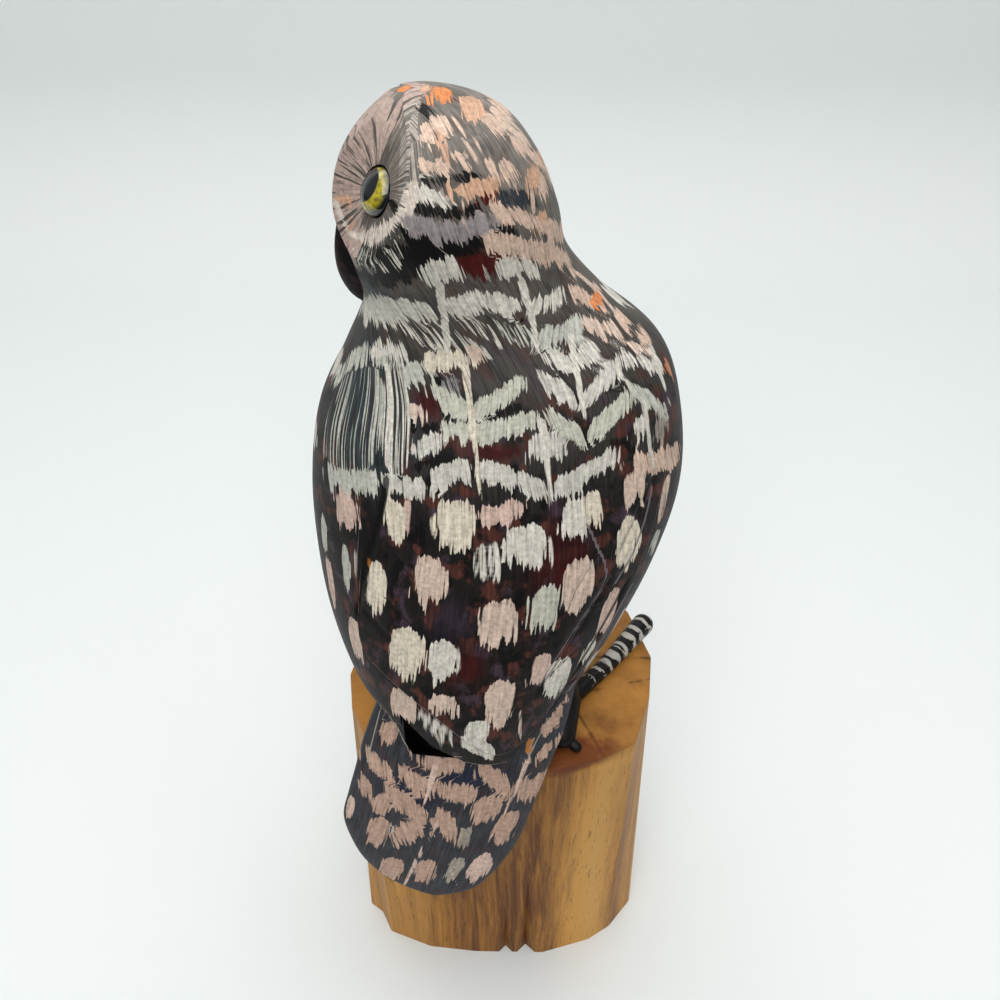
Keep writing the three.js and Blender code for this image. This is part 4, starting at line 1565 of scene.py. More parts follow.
    def paint(self, marks: Sequence[Mark], patches: Sequence[Patch], lines: Sequence[CarvedLine]) -> None:
        """Paints the block.

        Args:
            marks: the brush's marks.
            patches: the ground's areas.
            lines: the lines along the carving.
        """
        self.read_corners()
        kept = {"flow": self.flow_values(), "ground_tone": self.ground(patches)}
        for name in LAYERS:
            laid = self.lay([mark for mark in marks if mark.layer == name])
            kept[name], kept[name + "_tone"] = laid
        kept["line"], kept["line_tone"] = self.draw(lines)
        for name, values in kept.items():
            keep_values(self.piece, name, values, "CORNER")


T, C = Tone, Chart


@dataclass(frozen=True)
class Brushwork:
    """The owl's painted pattern and the lines of its carving."""

    def head(self) -> list[Mark]:
        """Returns the marks on the crown and nape."""
        crown = [
            (T.ORANGE, 441, 94, 12, 8, 8, 0.2), (T.PEACH, 425, 89, 6, 4, 4, 0.2),
            (T.PEACH, 472, 106, 13, 12, 13, 0.3),
            (T.PALE_PEACH, 437, 127, 15, 10, 12, 0.5), (T.PEACH, 438, 131, 8, 10, 12, 0.3),
            (T.PINK_CREAM, 506, 117, 10, 8, 10, 0.9)]
        bars = [
            (T.PINK_CREAM, [(500, 122), (514, 132), (524, 140)], 9, 9, 0.8),
            (T.PALE_PEACH, [(518, 144), (530, 153), (540, 162)], 10, 10, 0.6),
            (T.PALE_PEACH, [(420, 165), (436, 168), (450, 168)], 8, 9, 0.5),
            (T.PEACH, [(446, 192), (465, 192), (485, 186), (500, 180)], 9, 9, 0.35),
            (T.WHITE, [(416, 191), (430, 195), (444, 199)], 9, 9, 0.5),
            (T.LILAC, [(398, 214), (412, 221), (434, 229), (462, 230), (490, 218)], 9, 14, 0.2),
            (T.PALE_PEACH, [(500, 211), (518, 217), (540, 224), (558, 231)], 9, 11, 0.4),
            (T.PALE_PEACH, [(490, 240), (512, 246), (540, 251), (568, 258)], 9, 11, 0.35),
            (T.PALE_PEACH, [(572, 270), (584, 278), (596, 288)], 5, 6, 0.8),
            (T.WHITE, [(424, 275), (440, 270), (458, 268)], 10, 12, 0.4),
            (T.WHITE, [(496, 272), (508, 268), (520, 266)], 9, 10, 0.3),
            (T.WHITE, [(524, 266), (534, 268)], 8, 11, 0.3)]
        spots = [
            (T.PEACH, 541, 158, 5, 9, 9, 0.4), (T.PALE_PEACH, 461, 160, 9, 9, 9, 0.6),
            (T.ORANGE, 443, 166, 4, 3, 5, 0.4),
            (T.PALE_PEACH, 493, 170, 7, 11, 12, 0.5), (T.PALE_PEACH, 509, 172, 7, 13, 12, 0.5),
            (T.PEACH, 535, 180, 9, 13, 12, 0.25), (T.PEACH, 541, 222, 9, 8, 9, 0.3)]
        dark = [
            (T.BLACK, [(421, 181), (436, 181), (458, 178), (482, 176)], 6, 8, 0.5),
            (T.BLACK, [(405, 204), (425, 209), (450, 212), (478, 210)], 6, 8, 0.3),
            (T.DARK_RED, [(480, 200), (497, 194)], 8, 9, 0.3),
            (T.SLATE, [(502, 198), (518, 198), (534, 200)], 9, 9, 0.3),
            (T.BLACK, [(498, 229), (514, 231)], 7, 8, 0.3),
            (T.BLACK, [(350, 258), (368, 270), (388, 268), (410, 262), (440, 262)], 18, 15, 0.2),
            # This black bar under the lilac crescent is painted shade under the face.
            (T.BLACK, [(396, 228), (410, 241), (435, 250), (465, 247), (486, 240)], 15, 12, 0.5),
            (T.DARK_RED, [(458, 262), (478, 266), (500, 262)], 12, 14, 0.2)]
        marks = [spot(*values, chart=C.CROWN, lean=lean) for *values, lean in crown]
        marks += [spot(T.GREY_WHITE, 404 + 2.2 * i, 116 + 13 * i, 5, 8, 10, lean=0.9, cap=0.0, rag=1.1,
                       fine=True)
                  for i in range(5)]
        marks += [bar(tone, places, up, down, lean=lean) for tone, places, up, down, lean in bars]
        marks += [spot(*values, lean=lean) for *values, lean in spots]
        marks += [bar(tone, places, up, down, lean=lean, layer="under")
                  for tone, places, up, down, lean in dark]
        return marks + [
            spot(T.ORANGE, 405, 89, 9, 5, 4, chart=C.CROWN, layer="over", rag=0.5),
            spot(T.BLACK, 425, 108, 6, 7, 8, chart=C.CROWN, layer="under"),
            spot(T.BLACK, 456, 100, 2, 2, 2, chart=C.CROWN, layer="under"),
            shaft(T.PALE_PEACH, [(456, 120), (464, 134)], 1.8, 2),
            shaft(T.PEACH, [(441, 139), (447, 160), (454, 180)], 4, 1.5),
            shaft(T.PALE_PEACH, [(466, 143), (472, 152), (477, 162)], 2.2, 2.6),
            shaft(T.PALE_PEACH, [(475, 138), (480, 148)], 1.8, 1.2),
            shaft(T.PALE_PEACH, [(532, 192), (533, 204), (534, 214)], 2.6, 2.2, layer="over"),
            shaft(T.PALE_PEACH, [(462, 186), (463, 208), (464, 222)], 1.6, 1.2, layer="over")]

    def upper_back(self) -> list[Mark]:
        """Returns the barred feathers of the back and shoulders."""
        bars = [
            (T.WHITE, [(362, 306), (378, 308), (396, 308)], 10, 13, 0.2),
            (T.WHITE, [(396, 306), (412, 311), (428, 312)], 10, 10, 0.6),
            (T.WHITE, [(448, 311), (462, 307), (480, 300)], 10, 10, 0.6),
            (T.WHITE, [(488, 301), (505, 306), (519, 306)], 9, 9, 0.3),
            (T.WHITE, [(534, 306), (548, 302), (562, 294)], 8, 9, 0.0),
            (T.GREY_WHITE, [(538, 338), (552, 336), (568, 330), (582, 322)], 10, 11, 0.0),
            (T.GREY_WHITE, [(402, 374), (412, 374), (424, 368)], 10, 12, 0.4),
            (T.CREAM, [(425, 364), (440, 361), (456, 359), (471, 361)], 9, 10, 0.1),
            (T.PINK_CREAM, [(468, 354), (480, 352)], 8, 9, 0.5),
            (T.GREY_GREEN, [(434, 392), (444, 402), (456, 409), (468, 411)], 14, 13, 0.15),
            (T.GREY_GREEN, [(473, 410), (488, 406), (505, 396), (522, 384)], 11, 11, -0.1),
            (T.GREY_GREEN, [(444, 430), (456, 430), (468, 431)], 10, 11, 0.2),
            (T.GREY_GREEN, [(476, 433), (495, 432), (515, 426), (534, 418)], 11, 11, -0.05),
            (T.BAR, [(416, 450), (428, 444), (440, 439)], 9, 11, 0.1),
            (T.BAR, [(434, 479), (450, 473), (468, 468)], 11, 12, 0.15),
            (T.BAR, [(480, 470), (495, 473), (512, 478)], 11, 12, 0.0),
            (T.BAR, [(382, 482), (405, 488), (428, 490)], 11, 10, None),
            (T.BAR, [(548, 356), (560, 360), (570, 362)], 9, 10, 0.5),
            (T.BAR, [(574, 361), (584, 356), (594, 349)], 8, 9, None),
            (T.BAR, [(541, 378), (553, 386), (565, 394), (577, 401)], 14, 14, 0.35),
            (T.BAR, [(583, 401), (594, 391), (606, 378), (622, 362)], 13, 14, -0.1),
            (T.GREY_GREEN, [(551, 418), (562, 426), (574, 432), (586, 436)], 13, 14, 0.4),
            (T.GREY_GREEN, [(588, 434), (602, 424), (616, 411), (630, 398)], 13, 14, -0.1),
            (T.BAR, [(521, 482), (532, 487), (546, 491)], 12, 13, 0.25),
            (T.BAR, [(552, 490), (566, 486), (580, 479)], 11, 12, 0.05),
            (T.BAR, [(580, 477), (592, 470), (602, 464), (613, 456)], 11, 12, -0.1),
            (T.PALE_PEACH, [(572, 291), (586, 297), (600, 303)], 7, 8, 0.5),
            (T.PINK_CREAM, [(585, 324), (600, 327), (615, 328)], 7, 9, 0.5),
            (T.PALE_PEACH, [(622, 320), (634, 328), (644, 336)], 6, 7, 0.8),
            (T.PINK_CREAM, [(636, 346), (648, 350)], 4, 5, 0.8),
            (T.BAR, [(630, 358), (645, 364), (660, 370)], 8, 8, 0.5),
            (T.GREY_WHITE, [(633, 388), (648, 398), (664, 410)], 11, 14, 0.5),
            (T.PALE_PEACH, [(634, 462), (650, 462), (664, 458), (677, 452)], 10, 13, 0.2)]
        broken = [
            (T.WHITE, [(404, 322), (420, 330), (438, 338)], 10, 13, 0.75),
            (T.GREY_WHITE, [(452, 338), (466, 344), (480, 350)], 9, 9, 0.75),
            (T.WHITE, [(464, 322), (480, 328), (496, 336)], 11, 12, 0.75),
            (T.GREY_WHITE, [(502, 328), (516, 334), (530, 338)], 9, 12, 0.6)]
        shafts = [
            (T.WHITE, [(440, 283), (443, 310), (446, 335), (447, 352)], 4.5, 3.5),
            (T.WHITE, [(521, 279), (529, 305), (534, 330), (537, 350)], 4.5, 2.5),
            (T.CREAM, [(465, 365), (467, 385), (470, 410), (474, 440), (478, 470), (481, 497)], 4.5, 1.2),
            (T.WHITE, [(570, 335), (575, 365), (580, 395), (585, 420)], 3.6, 2.4),
            (T.WHITE, [(541, 420), (546, 450), (549, 480), (551, 514)], 4.5, 1.2),
            (T.PINK_CREAM, [(584, 278), (600, 293), (612, 308), (620, 320)], 2.0, 1.4),
            (T.BAR, [(650, 345), (658, 370), (665, 390)], 2.8, 1.8),
            (T.BAR, [(643, 402), (647, 425), (650, 450), (653, 468)], 2.8, 1.8),
            (T.PINK_CREAM, [(668, 478), (664, 500), (660, 520)], 5, 4)]
        marks = [bar(tone, places, up, down, lean=lean) for tone, places, up, down, lean in bars]
        marks += [bar(tone, places, up, down, lean=lean, cap=-0.05, rag=1.2)
                  for tone, places, up, down, lean in broken]
        marks += [shaft(tone, places, start, end, layer="over") for tone, places, start, end in shafts]
        return marks + [
            spot(T.GREY, 457, 384, 9, 7, 8, cap=0.2), spot(T.PINK_CREAM, 417, 412, 9, 8, 10),
            spot(T.BAR, 548, 446, 21, 13, 14), spot(T.ORANGE, 597, 299, 8, 6, 6, rag=0.6, layer="over"),
            bar(T.BLACK, [(446, 414), (470, 417), (495, 415), (520, 407)], 5, 5, layer="under"),
            spot(T.BLACK, 434, 378, 7, 6, 7, layer="under"),
            bar(T.BLACK, [(416, 426), (430, 428), (440, 426)], 4, 5, layer="under"),
            spot(T.BLACK, 524, 320, 3.5, 3.5, 3.5, rag=0.2, layer="over"),
            bar(T.BLACK, [(416, 467), (432, 461), (450, 458)], 5, 5, layer="under"),
            bar(T.MAROON, [(480, 452), (500, 455), (516, 450)], 5, 6, layer="under"),
            spot(T.DAB, 667, 368, 5, 6, 8, layer="over"), spot(T.WHITE, 640, 426, 9, 8, 10),
            spot(T.TAUPE, 661, 426, 9, 9, 11), spot(T.PINK_CREAM, 636, 486, 12, 17, 17)]

    def left_shoulder(self) -> list[Mark]:
        """Returns the finely streaked left shoulder."""
        return [
            bar(T.GREY_WHITE, [(326, 425), (345, 418), (365, 415), (381, 415)], 58, 62, 2, cap=-0.2,
                rag=1.0, fine=True),
            bar(T.WHITE, [(386, 410), (398, 410), (411, 412)], 62, 68, 2, cap=0.05, rag=1.0, fine=True),
            bar(T.GREY_WHITE, [(340, 372), (352, 356), (372, 350), (398, 350)], 7, 14, cap=0.4, rag=1.2),
            bar(T.WHITE, [(370, 352), (385, 350), (400, 352)], 8, 10, rag=1.2),
            bar(T.GREY_WHITE, [(328, 470), (345, 480), (370, 481)], 9, 11, rag=1.2)]

    def lower_back(self) -> list[Mark]:
        """Returns the spotted wings."""
        spots = [
            (T.SPOT_PINK, 348, 510, 14, 18, 21), (T.GREY_WHITE, 324, 532, 6, 16, 17),
            (T.CREAM, 394, 518, 12, 20, 24), (T.CREAM, 455, 525, 21, 25, 26),
            (T.WHITE, 526, 545, 21, 20, 23),
            (T.WHITE, 574, 518, 13, 18, 21), (T.CREAM, 592, 508, 9, 18, 20),
            (T.CREAM, 629, 541, 13, 24, 25),
            (T.GREY_WHITE, 655, 540, 5, 10, 14), (T.PINK_CREAM, 429, 580, 17, 23, 24),
            (T.CREAM, 376, 588, 10, 25, 25), (T.GREY_WHITE, 346, 568, 5, 22, 22),
            (T.SPOT_PINK, 330, 578, 6, 20, 28), (T.PINK_CREAM, 498, 620, 20, 20, 24),
            (T.GREY_GREEN, 545, 606, 17, 20, 26), (T.PINK_CREAM, 578, 585, 17, 26, 27),
            (T.SPOT_PINK, 609, 612, 9, 24, 28), (T.SPOT_PINK, 616, 625, 5, 20, 16),
            (T.PINK_CREAM, 355, 640, 8, 20, 20), (T.CREAM, 406, 648, 17, 20, 30),
            (T.WHITE, 441, 662, 13, 22, 22),
            (T.SPOT_PINK, 540, 670, 11, 16, 16), (T.WHITE, 557, 680, 13, 22, 20),
            (T.WHITE, 589, 650, 8, 10, 12),
            (T.GREY_WHITE, 597, 662, 8, 8, 8), (T.PINK_CREAM, 500, 702, 14, 22, 28),
            (T.PINK_CREAM, 403, 706, 15, 16, 14), (T.PINK_CREAM, 444, 706, 13, 12, 12)]
        strips = [
            (T.SPOT_PINK, [(408, 502), (407, 535)], 3, 2.4), (T.CREAM, [(432, 518), (433, 537)], 2.4, 1.8),
            (T.WHITE, [(549, 537), (551, 565)], 2.5, 2), (T.WHITE, [(473, 546), (475, 572)], 1.8, 1.4),
            (T.WHITE, [(481, 545), (484, 580)], 4, 3), (T.WHITE, [(489, 546), (492, 582)], 1.8, 1.6),
            (T.WHITE, [(496, 545), (499, 583)], 2.5, 2), (T.GREY_WHITE, [(355, 548), (356, 575)], 1.8, 1.5),
            (T.CREAM, [(390, 645), (391, 667)], 1.8, 1.5), (T.WHITE, [(458, 650), (459, 668)], 1.8, 1.5),
            (T.PINK_CREAM, [(520, 712), (521, 737)], 1.8, 1.4)]
        streaks = [(T.WHITE, [(419 + 4 * i, 712 + 2.4 * i), (420 + 4 * i, 726 + 2.4 * i)], 1.3, 0.9)
                   for i in range(9)]
        marks = [spot(*values) for values in spots]
        marks += [shaft(tone, places, start, end) for tone, places, start, end in strips + streaks]
        return marks + [bar(T.SPOT_PINK, [(480, 515), (500, 515), (517, 508)], 9, 12),
                        spot(T.WHITE, 478, 731, 13, 10, 10, rag=0.45),
                        bar(T.WHITE, [(462, 740), (476, 747), (493, 755)], 7, 7, 3, rag=0.4)]

    def tail(self) -> list[Mark]:
        """Returns the barred tail."""
        bars = [
            ([(418, 758), (435, 762), (450, 763), (475, 758)], 6, 10, 0.0),
            ([(368, 756), (380, 766), (391, 776)], 10, 10, 0.1),
            ([(402, 772), (413, 782), (428, 791)], 12, 11, 0.15),
            ([(434, 788), (452, 792), (474, 794)], 8, 9, -0.1),
            ([(482, 772), (496, 781), (511, 789)], 12, 12, 0.1),
            ([(514, 791), (530, 789), (544, 783)], 11, 11, -0.1),
            ([(545, 730), (556, 718), (566, 702)], 6, 6, 0.0),
            ([(534, 760), (545, 752), (556, 740)], 6, 7, 0.0),
            ([(390, 794), (404, 804), (418, 813), (428, 820)], 12, 12, 0.15),
            ([(438, 817), (448, 825), (457, 835)], 13, 14, 0.0),
            ([(392, 838), (408, 830), (424, 828)], 8, 10, 0.3), ([(362, 780), (368, 790)], 10, 16, 0.1)]
        spots = [
            (T.TAIL_PINK, 389, 733, 9, 12, 13), (T.SPOT_PINK, 350, 808, 5, 10, 12),
            (T.TAIL_PINK, 382, 804, 8, 10, 12), (T.TAIL_PINK, 485, 809, 14, 14, 15),
            (T.TAIL_PINK, 505, 828, 12, 18, 18), (T.TAIL_PINK, 378, 832, 11, 15, 15),
            (T.EDGE_PALE, 465, 838, 5, 12, 12), (T.TAIL_PINK, 392, 869, 12, 11, 11),
            (T.TAIL_PINK, 425, 871, 10, 12, 12), (T.EDGE_PALE, 455, 868, 8, 11, 13),
            (T.SPOT_PINK, 480, 868, 11, 15, 15),
            (T.GREY_WHITE, 388, 833, 2, 9, 6)]
        shafts = [
            ([(436, 764), (430, 785), (424, 806)], 3.2, 2), ([(436, 824), (422, 850), (404, 884)], 3, 1.6),
            ([(527, 762), (518, 785), (506, 812)], 2.5, 1.6), ([(447, 860), (457, 885)], 1.4, 1)]
        marks = [bar(T.TAIL_PINK, places, up, down, 3, chart=C.TAIL, lean=lean, rag=1.2)
                 for places, up, down, lean in bars]
        marks += [spot(*values, chart=C.TAIL, rag=1.2) for values in spots]
        return marks + [shaft(T.SPOT_PINK, places, start, end, chart=C.TAIL, layer="over")
                        for places, start, end in shafts]

    def face(self) -> list[Mark]:
        """Returns the fine rays round each eye."""
        rays = (
            (T.FACE_PINK, [(-165, 8), (-120, 8), (-60, 9), (-5, 9.5)], 6.5, 12, 0.55, 1.3, False),
            (T.TAUPE, [(-4, 10), (30, 9), (60, 8), (84, 8)], 5, 4.5, -0.05, 1.0, True),
            (T.RIDGE, [(-8, 13.2), (10, 12.4), (38, 10.2), (66, 9.4), (80, 9)], 3.4, 1.4, 0.05, 1.0, True),
            (T.FACE_WHITE, [(66, 9.8), (96, 8.2), (115, 7.2), (131, 6.6), (155, 6.3), (179, 6.8)],
             1.4, 1.3, 9, 1.1, False),
            (T.FACE_WHITE, [(-179, 6.8), (-160, 8.2), (-146, 9.8), (-128, 10.4), (-115, 10.6)],
             1.2, 1.2, 9, 1.1, False),
            (T.GREY_WHITE, [(105, 9.4), (140, 8.8), (178, 9.2)], 1.6, 2.6, -0.3, 1.0, True),
            (T.GREY_WHITE, [(-178, 9.2), (-155, 11)], 1.6, 2.6, -0.3, 1.0, True))
        whiskers = ([(347, 252), (352, 262), (360, 272)], [(353, 251), (360, 261), (370, 271)],
                    [(361, 251), (369, 260), (380, 269)], [(372, 248), (382, 257), (394, 265)])
        marks = [bar(tone, places, up, down, 0.4, chart=C.FACE, cap=cap, rag=rag, fine=fine, placed=True)
                 for tone, places, up, down, cap, rag, fine in rays]
        marks += [
            spot(T.PEACH, 347, 203, 7, 6, 6, chart=C.FACE, cap=0.4, rag=0.9, layer="over"),
            spot(T.PEACH, 350, 222, 5, 6, 6, chart=C.FACE, cap=0.2, rag=0.9, layer="over"),
            # Painted shade at the eye's lower rear edge.
            spot(T.BLACK, 394, 206, 5, 8, 6, chart=C.FACE, rag=0.6, layer="over"),
            bar(T.WHITE, [(370, 262), (385, 257), (398, 246)], 8, 12, 2, cap=-0.3, rag=0.9)]
        return marks + [shaft(T.FACE_WHITE, places, 1.2, 0.6, layer="over") for places in whiskers]

    def hidden_sides(self) -> list[Mark]:
        """Returns the plainer pattern of the sides and front, in keeping with the back."""
        marks = []
        for row, height in enumerate(range(168, 120, -12)):
            marks += [self.plain_bar(82 + 15 * step + 7 * (row % 2), height) for step in range(7)]
        for row, height in enumerate(range(166, 110, -12)):
            start = -98 if height > 130 else -80
            marks += [self.plain_bar(start - 14 * step - 7 * (row % 2), height) for step in range(8)]
        for row, height in enumerate(range(178, 200, 9)):
            for step in range(6):
                bearing = -60 - 22 * step - 9 * (row % 2)
                marks.append(spot(T.PALE_PEACH, bearing, height, 2.2, 1.7, 1.7, placed=True, rag=0.8))
        for row, height in enumerate(range(154, 84, -7)):
            for step in range(24):
                bearing = -172 + 15 * step + 7 * (row % 2)
                marks.append(bar(T.UMBER, [(bearing - 3, height), (bearing + 3, height - 0.6)], 1.0, 1.3,
                                 0.6, chart=C.BREAST, placed=True, rag=0.8))
        return marks

    def plain_bar(self, bearing: float, height: float) -> Mark:
        """Returns a pale bar that bows down, at a bearing in degrees and a height."""
        places = [(bearing - 4, height - 1), (bearing, height - 2.2), (bearing + 4, height - 1)]
        return bar(T.BAR, places, 1.8, 2.2, 1.0, placed=True, rag=0.9)

    def marks(self) -> list[Mark]:
        """Returns every mark."""
        groups = (self.head(), self.upper_back(), self.left_shoulder(), self.lower_back(), self.tail(),
                  self.face(), self.hidden_sides())
        return [mark for group in groups for mark in group]

    def patches(self) -> list[Patch]:
        """Returns the ground's areas, some of them painted shade and painted sheen."""
        return [
            Patch(T.SHOULDER, 365, 410, 46, 80), Patch(T.FACE_GREY, 375, 160, 60, 90, chart=C.FACE),
            # The black patch under the lilac crescent is painted shade; the slate patch below it is painted
            # sheen.
            Patch(T.BLACK, 440, 245, 60, 22), Patch(T.SLATE, 372, 290, 40, 14),
            # The first patch here is black paint deepened with painted shade beside the left layer's rim.
            Patch(T.BLACK, 365, 560, 16, 70), Patch(T.MAROON, 480, 262, 40, 16),
            Patch(T.MAROON, 430, 404, 18, 18), Patch(T.DARK_RED, 490, 452, 30, 9),
            Patch(T.MAROON, 463, 668, 22, 22), Patch(T.PURPLE, 450, 625, 24, 22),
            Patch(T.MAROON, 560, 560, 30, 40),
            Patch(T.NAVY, 470, 778, 40, 14, chart=C.TAIL), Patch(T.NAVY, 410, 795, 30, 14, chart=C.TAIL)]

    def lines(self) -> list[CarvedLine]:
        """Returns the lines of the carving: painted shade in the cuts, painted highlight along the edges,
        and two chips.
        """
        rows = (
            # Black along the left layer's rim and in the cuts below it: painted shade.
            (T.BLACK, ((386, 478), (383, 500), (377, 530), (368, 560), (360, 590), (357, 612)),
             0.7, 0.4, 0.6),
            (T.BLACK, ((386, 545), (410, 577)), 0.18, 0.25, 0.55),
            (T.BLACK, ((384, 598), (410, 625)), 0.18, 0.25, 0.55),
            (T.BLACK, ((366, 612), (390, 640)), 0.18, 0.25, 0.55),
            # Grey-lilac lines on the right wing's edges: painted highlight.
            (T.EDGE_HIGHLIGHT, ((589, 527), (605, 562), (608, 577), (600, 594), (583, 619), (566, 645),
                            (537, 691)), 0.3, 0.3, 0.6),
            (T.EDGE_HIGHLIGHT, ((653, 486), (645, 520), (632, 556), (614, 585)), 0.26),
            (T.EDGE_HIGHLIGHT, ((633, 583), (617, 612), (602, 640), (584, 668), (568, 692)), 0.26),
            # Black in the right wing's grooves: painted shade.
            (T.BLACK, ((655, 476), (641, 508), (635, 522), (621, 555)), 0.2, 0.35, 0.7),
            (T.BLACK, ((627, 583), (612, 611), (598, 636), (580, 665), (566, 688), (550, 711)),
             0.5, 0.35, 0.6),
            (T.BLACK, ((611, 578), (603, 594), (588, 616), (568, 649), (540, 691)), 0.2, 0.2, 0.4),
            (T.BLACK, ((590, 568), (577, 590), (568, 612)), 0.13, 0.2, 0.45),
            (T.BLACK, ((636, 521), (625, 540), (617, 558)), 0.12, 0.2, 0.45),
            (T.BLACK, ((575, 652), (556, 671), (537, 692)), 0.2, 0.25, 0.5),
            # Pale lines along the wing tips' edge and the tail's edges: painted highlight.
            (T.EDGE_PALE, ((386, 712), (398, 728), (404, 742), (412, 751), (436, 755), (461, 757)), 0.16),
            (T.EDGE_PALE, ((548, 720), (538, 738), (528, 758)), 0.16),
            (T.EDGE_PALE, ((381, 706), (375, 730), (367, 762)), 0.18),
            (T.CHIP, ((530, 742), (531, 748), (529, 755)), 0.95),
            (T.CHIP, ((368, 560), (368, 566)), 0.4))
        return [CarvedLine(*row) for row in rows]


# Finishes


class Shader:
    """A material's nodes."""

    def __init__(self, name: str) -> None:
        """Starts an empty material.

        Args:
            name: what it is called.
        """
        self.material = bpy.data.materials.new(name)
        self.material.use_nodes = True
        self.tree = self.material.node_tree
        self.tree.nodes.clear()

    def add(self, kind: str, inputs: dict[int | str, object] | None = None, out: int | str = 0,
            **settings: object) -> Socket | None:
        """Adds a node.

        Args:
            kind: the node's type, without the word ShaderNode.
            inputs: what each input is linked to or set to.
            out: the output to return.
            **settings: the node's own settings.

        Returns:
            The chosen output.
        """
        node = self.tree.nodes.new("ShaderNode" + kind)
        for key, value in settings.items():
            setattr(node, key, value)
        for key, value in (inputs or {}).items():
            if isinstance(value, Socket):
                self.tree.links.new(value, node.inputs[key])
            else:
                node.inputs[key].default_value = value
        return node.outputs[out] if node.outputs else None

    def kept(self, name: str, out: str = "Vector") -> Socket:
        """Returns the values kept on the piece under a name."""
        return self.add("Attribute", out=out, attribute_name=name)

    def math(self, operation: str, *values: Socket | float) -> Socket:
        """Returns the result of an operation on numbers."""
        return self.add("Math", dict(enumerate(values)), operation=operation)

    def vector(self, operation: str, *values: Socket | Point3, out: str = "Vector") -> Socket:
        """Returns the result of an operation on vectors."""
        return self.add("VectorMath", dict(enumerate(values)), out, operation=operation)

    def parts(self, vector: Socket) -> list[Socket]:
        """Returns a vector's three parts."""
        return list(self.add("SeparateXYZ", {0: vector}).node.outputs)

    def ramp(self, value: Socket, low: float, high: float, start: float = 0.0, end: float = 1.0,
             kind: str = "LINEAR") -> Socket:
        """Returns a value carried from low and high to start and end."""
        ends = {0: value, 1: low, 2: high, 3: start, 4: end}
        return self.add("MapRange", ends, interpolation_type=kind)

    def soft_ramp(self, value: Socket, *ends: float) -> Socket:
        """Returns a value carried from one range to another with a smooth start and end."""
        return self.ramp(value, *ends, kind="SMOOTHSTEP")

    def mix(self, share: Socket, first: Socket | Colour, second: Socket | Colour) -> Socket:
        """Returns a colour with another laid over it by a share."""
        return self.add("Mix", {"Factor": share, 6: first, 7: second}, 2, data_type="RGBA")

    def scaled(self, colour: Socket, share: Socket) -> Socket:
        """Returns a colour made lighter or darker."""
        return self.vector("MULTIPLY", colour, self.add("CombineXYZ", {0: share, 1: share, 2: share}))

    def noise(self, place: Socket, scale: float, detail: float, roughness: float = 0.5,
              out: int | str = 0) -> Socket:
        """Returns noise. Its scale counts the waves to one unit of the place."""
        inputs = {"Vector": place, "Scale": scale, "Detail": detail, "Roughness": roughness}
        return self.add("TexNoise", inputs, out)

    def drawn_noise(self, place: Socket, sizes: Point3, detail: float, roughness: float) -> Socket:
        """Returns noise that has a size of its own along each axis."""
        place = self.vector("MULTIPLY", place, tuple(1 / size for size in sizes))
        return self.noise(place, 1.0, detail, roughness)

    def in_millimetres(self) -> Socket:
        """Returns places on the piece in millimetres."""
        return self.vector("MULTIPLY", self.add("TexCoord", out="Object"), (1 / MM, 1 / MM, 1 / MM))

    def finish(self, **inputs: object) -> bpy.types.Material:
        """Adds the surface.

        Args:
            **inputs: what its inputs are, with _ for a space in their names.

        Returns:
            The finished material.
        """
        named = {key.replace("_", " "): value for key, value in inputs.items()}
        surface = self.add("BsdfPrincipled", named)
        self.add("OutputMaterial", {"Surface": surface})
        return self.material


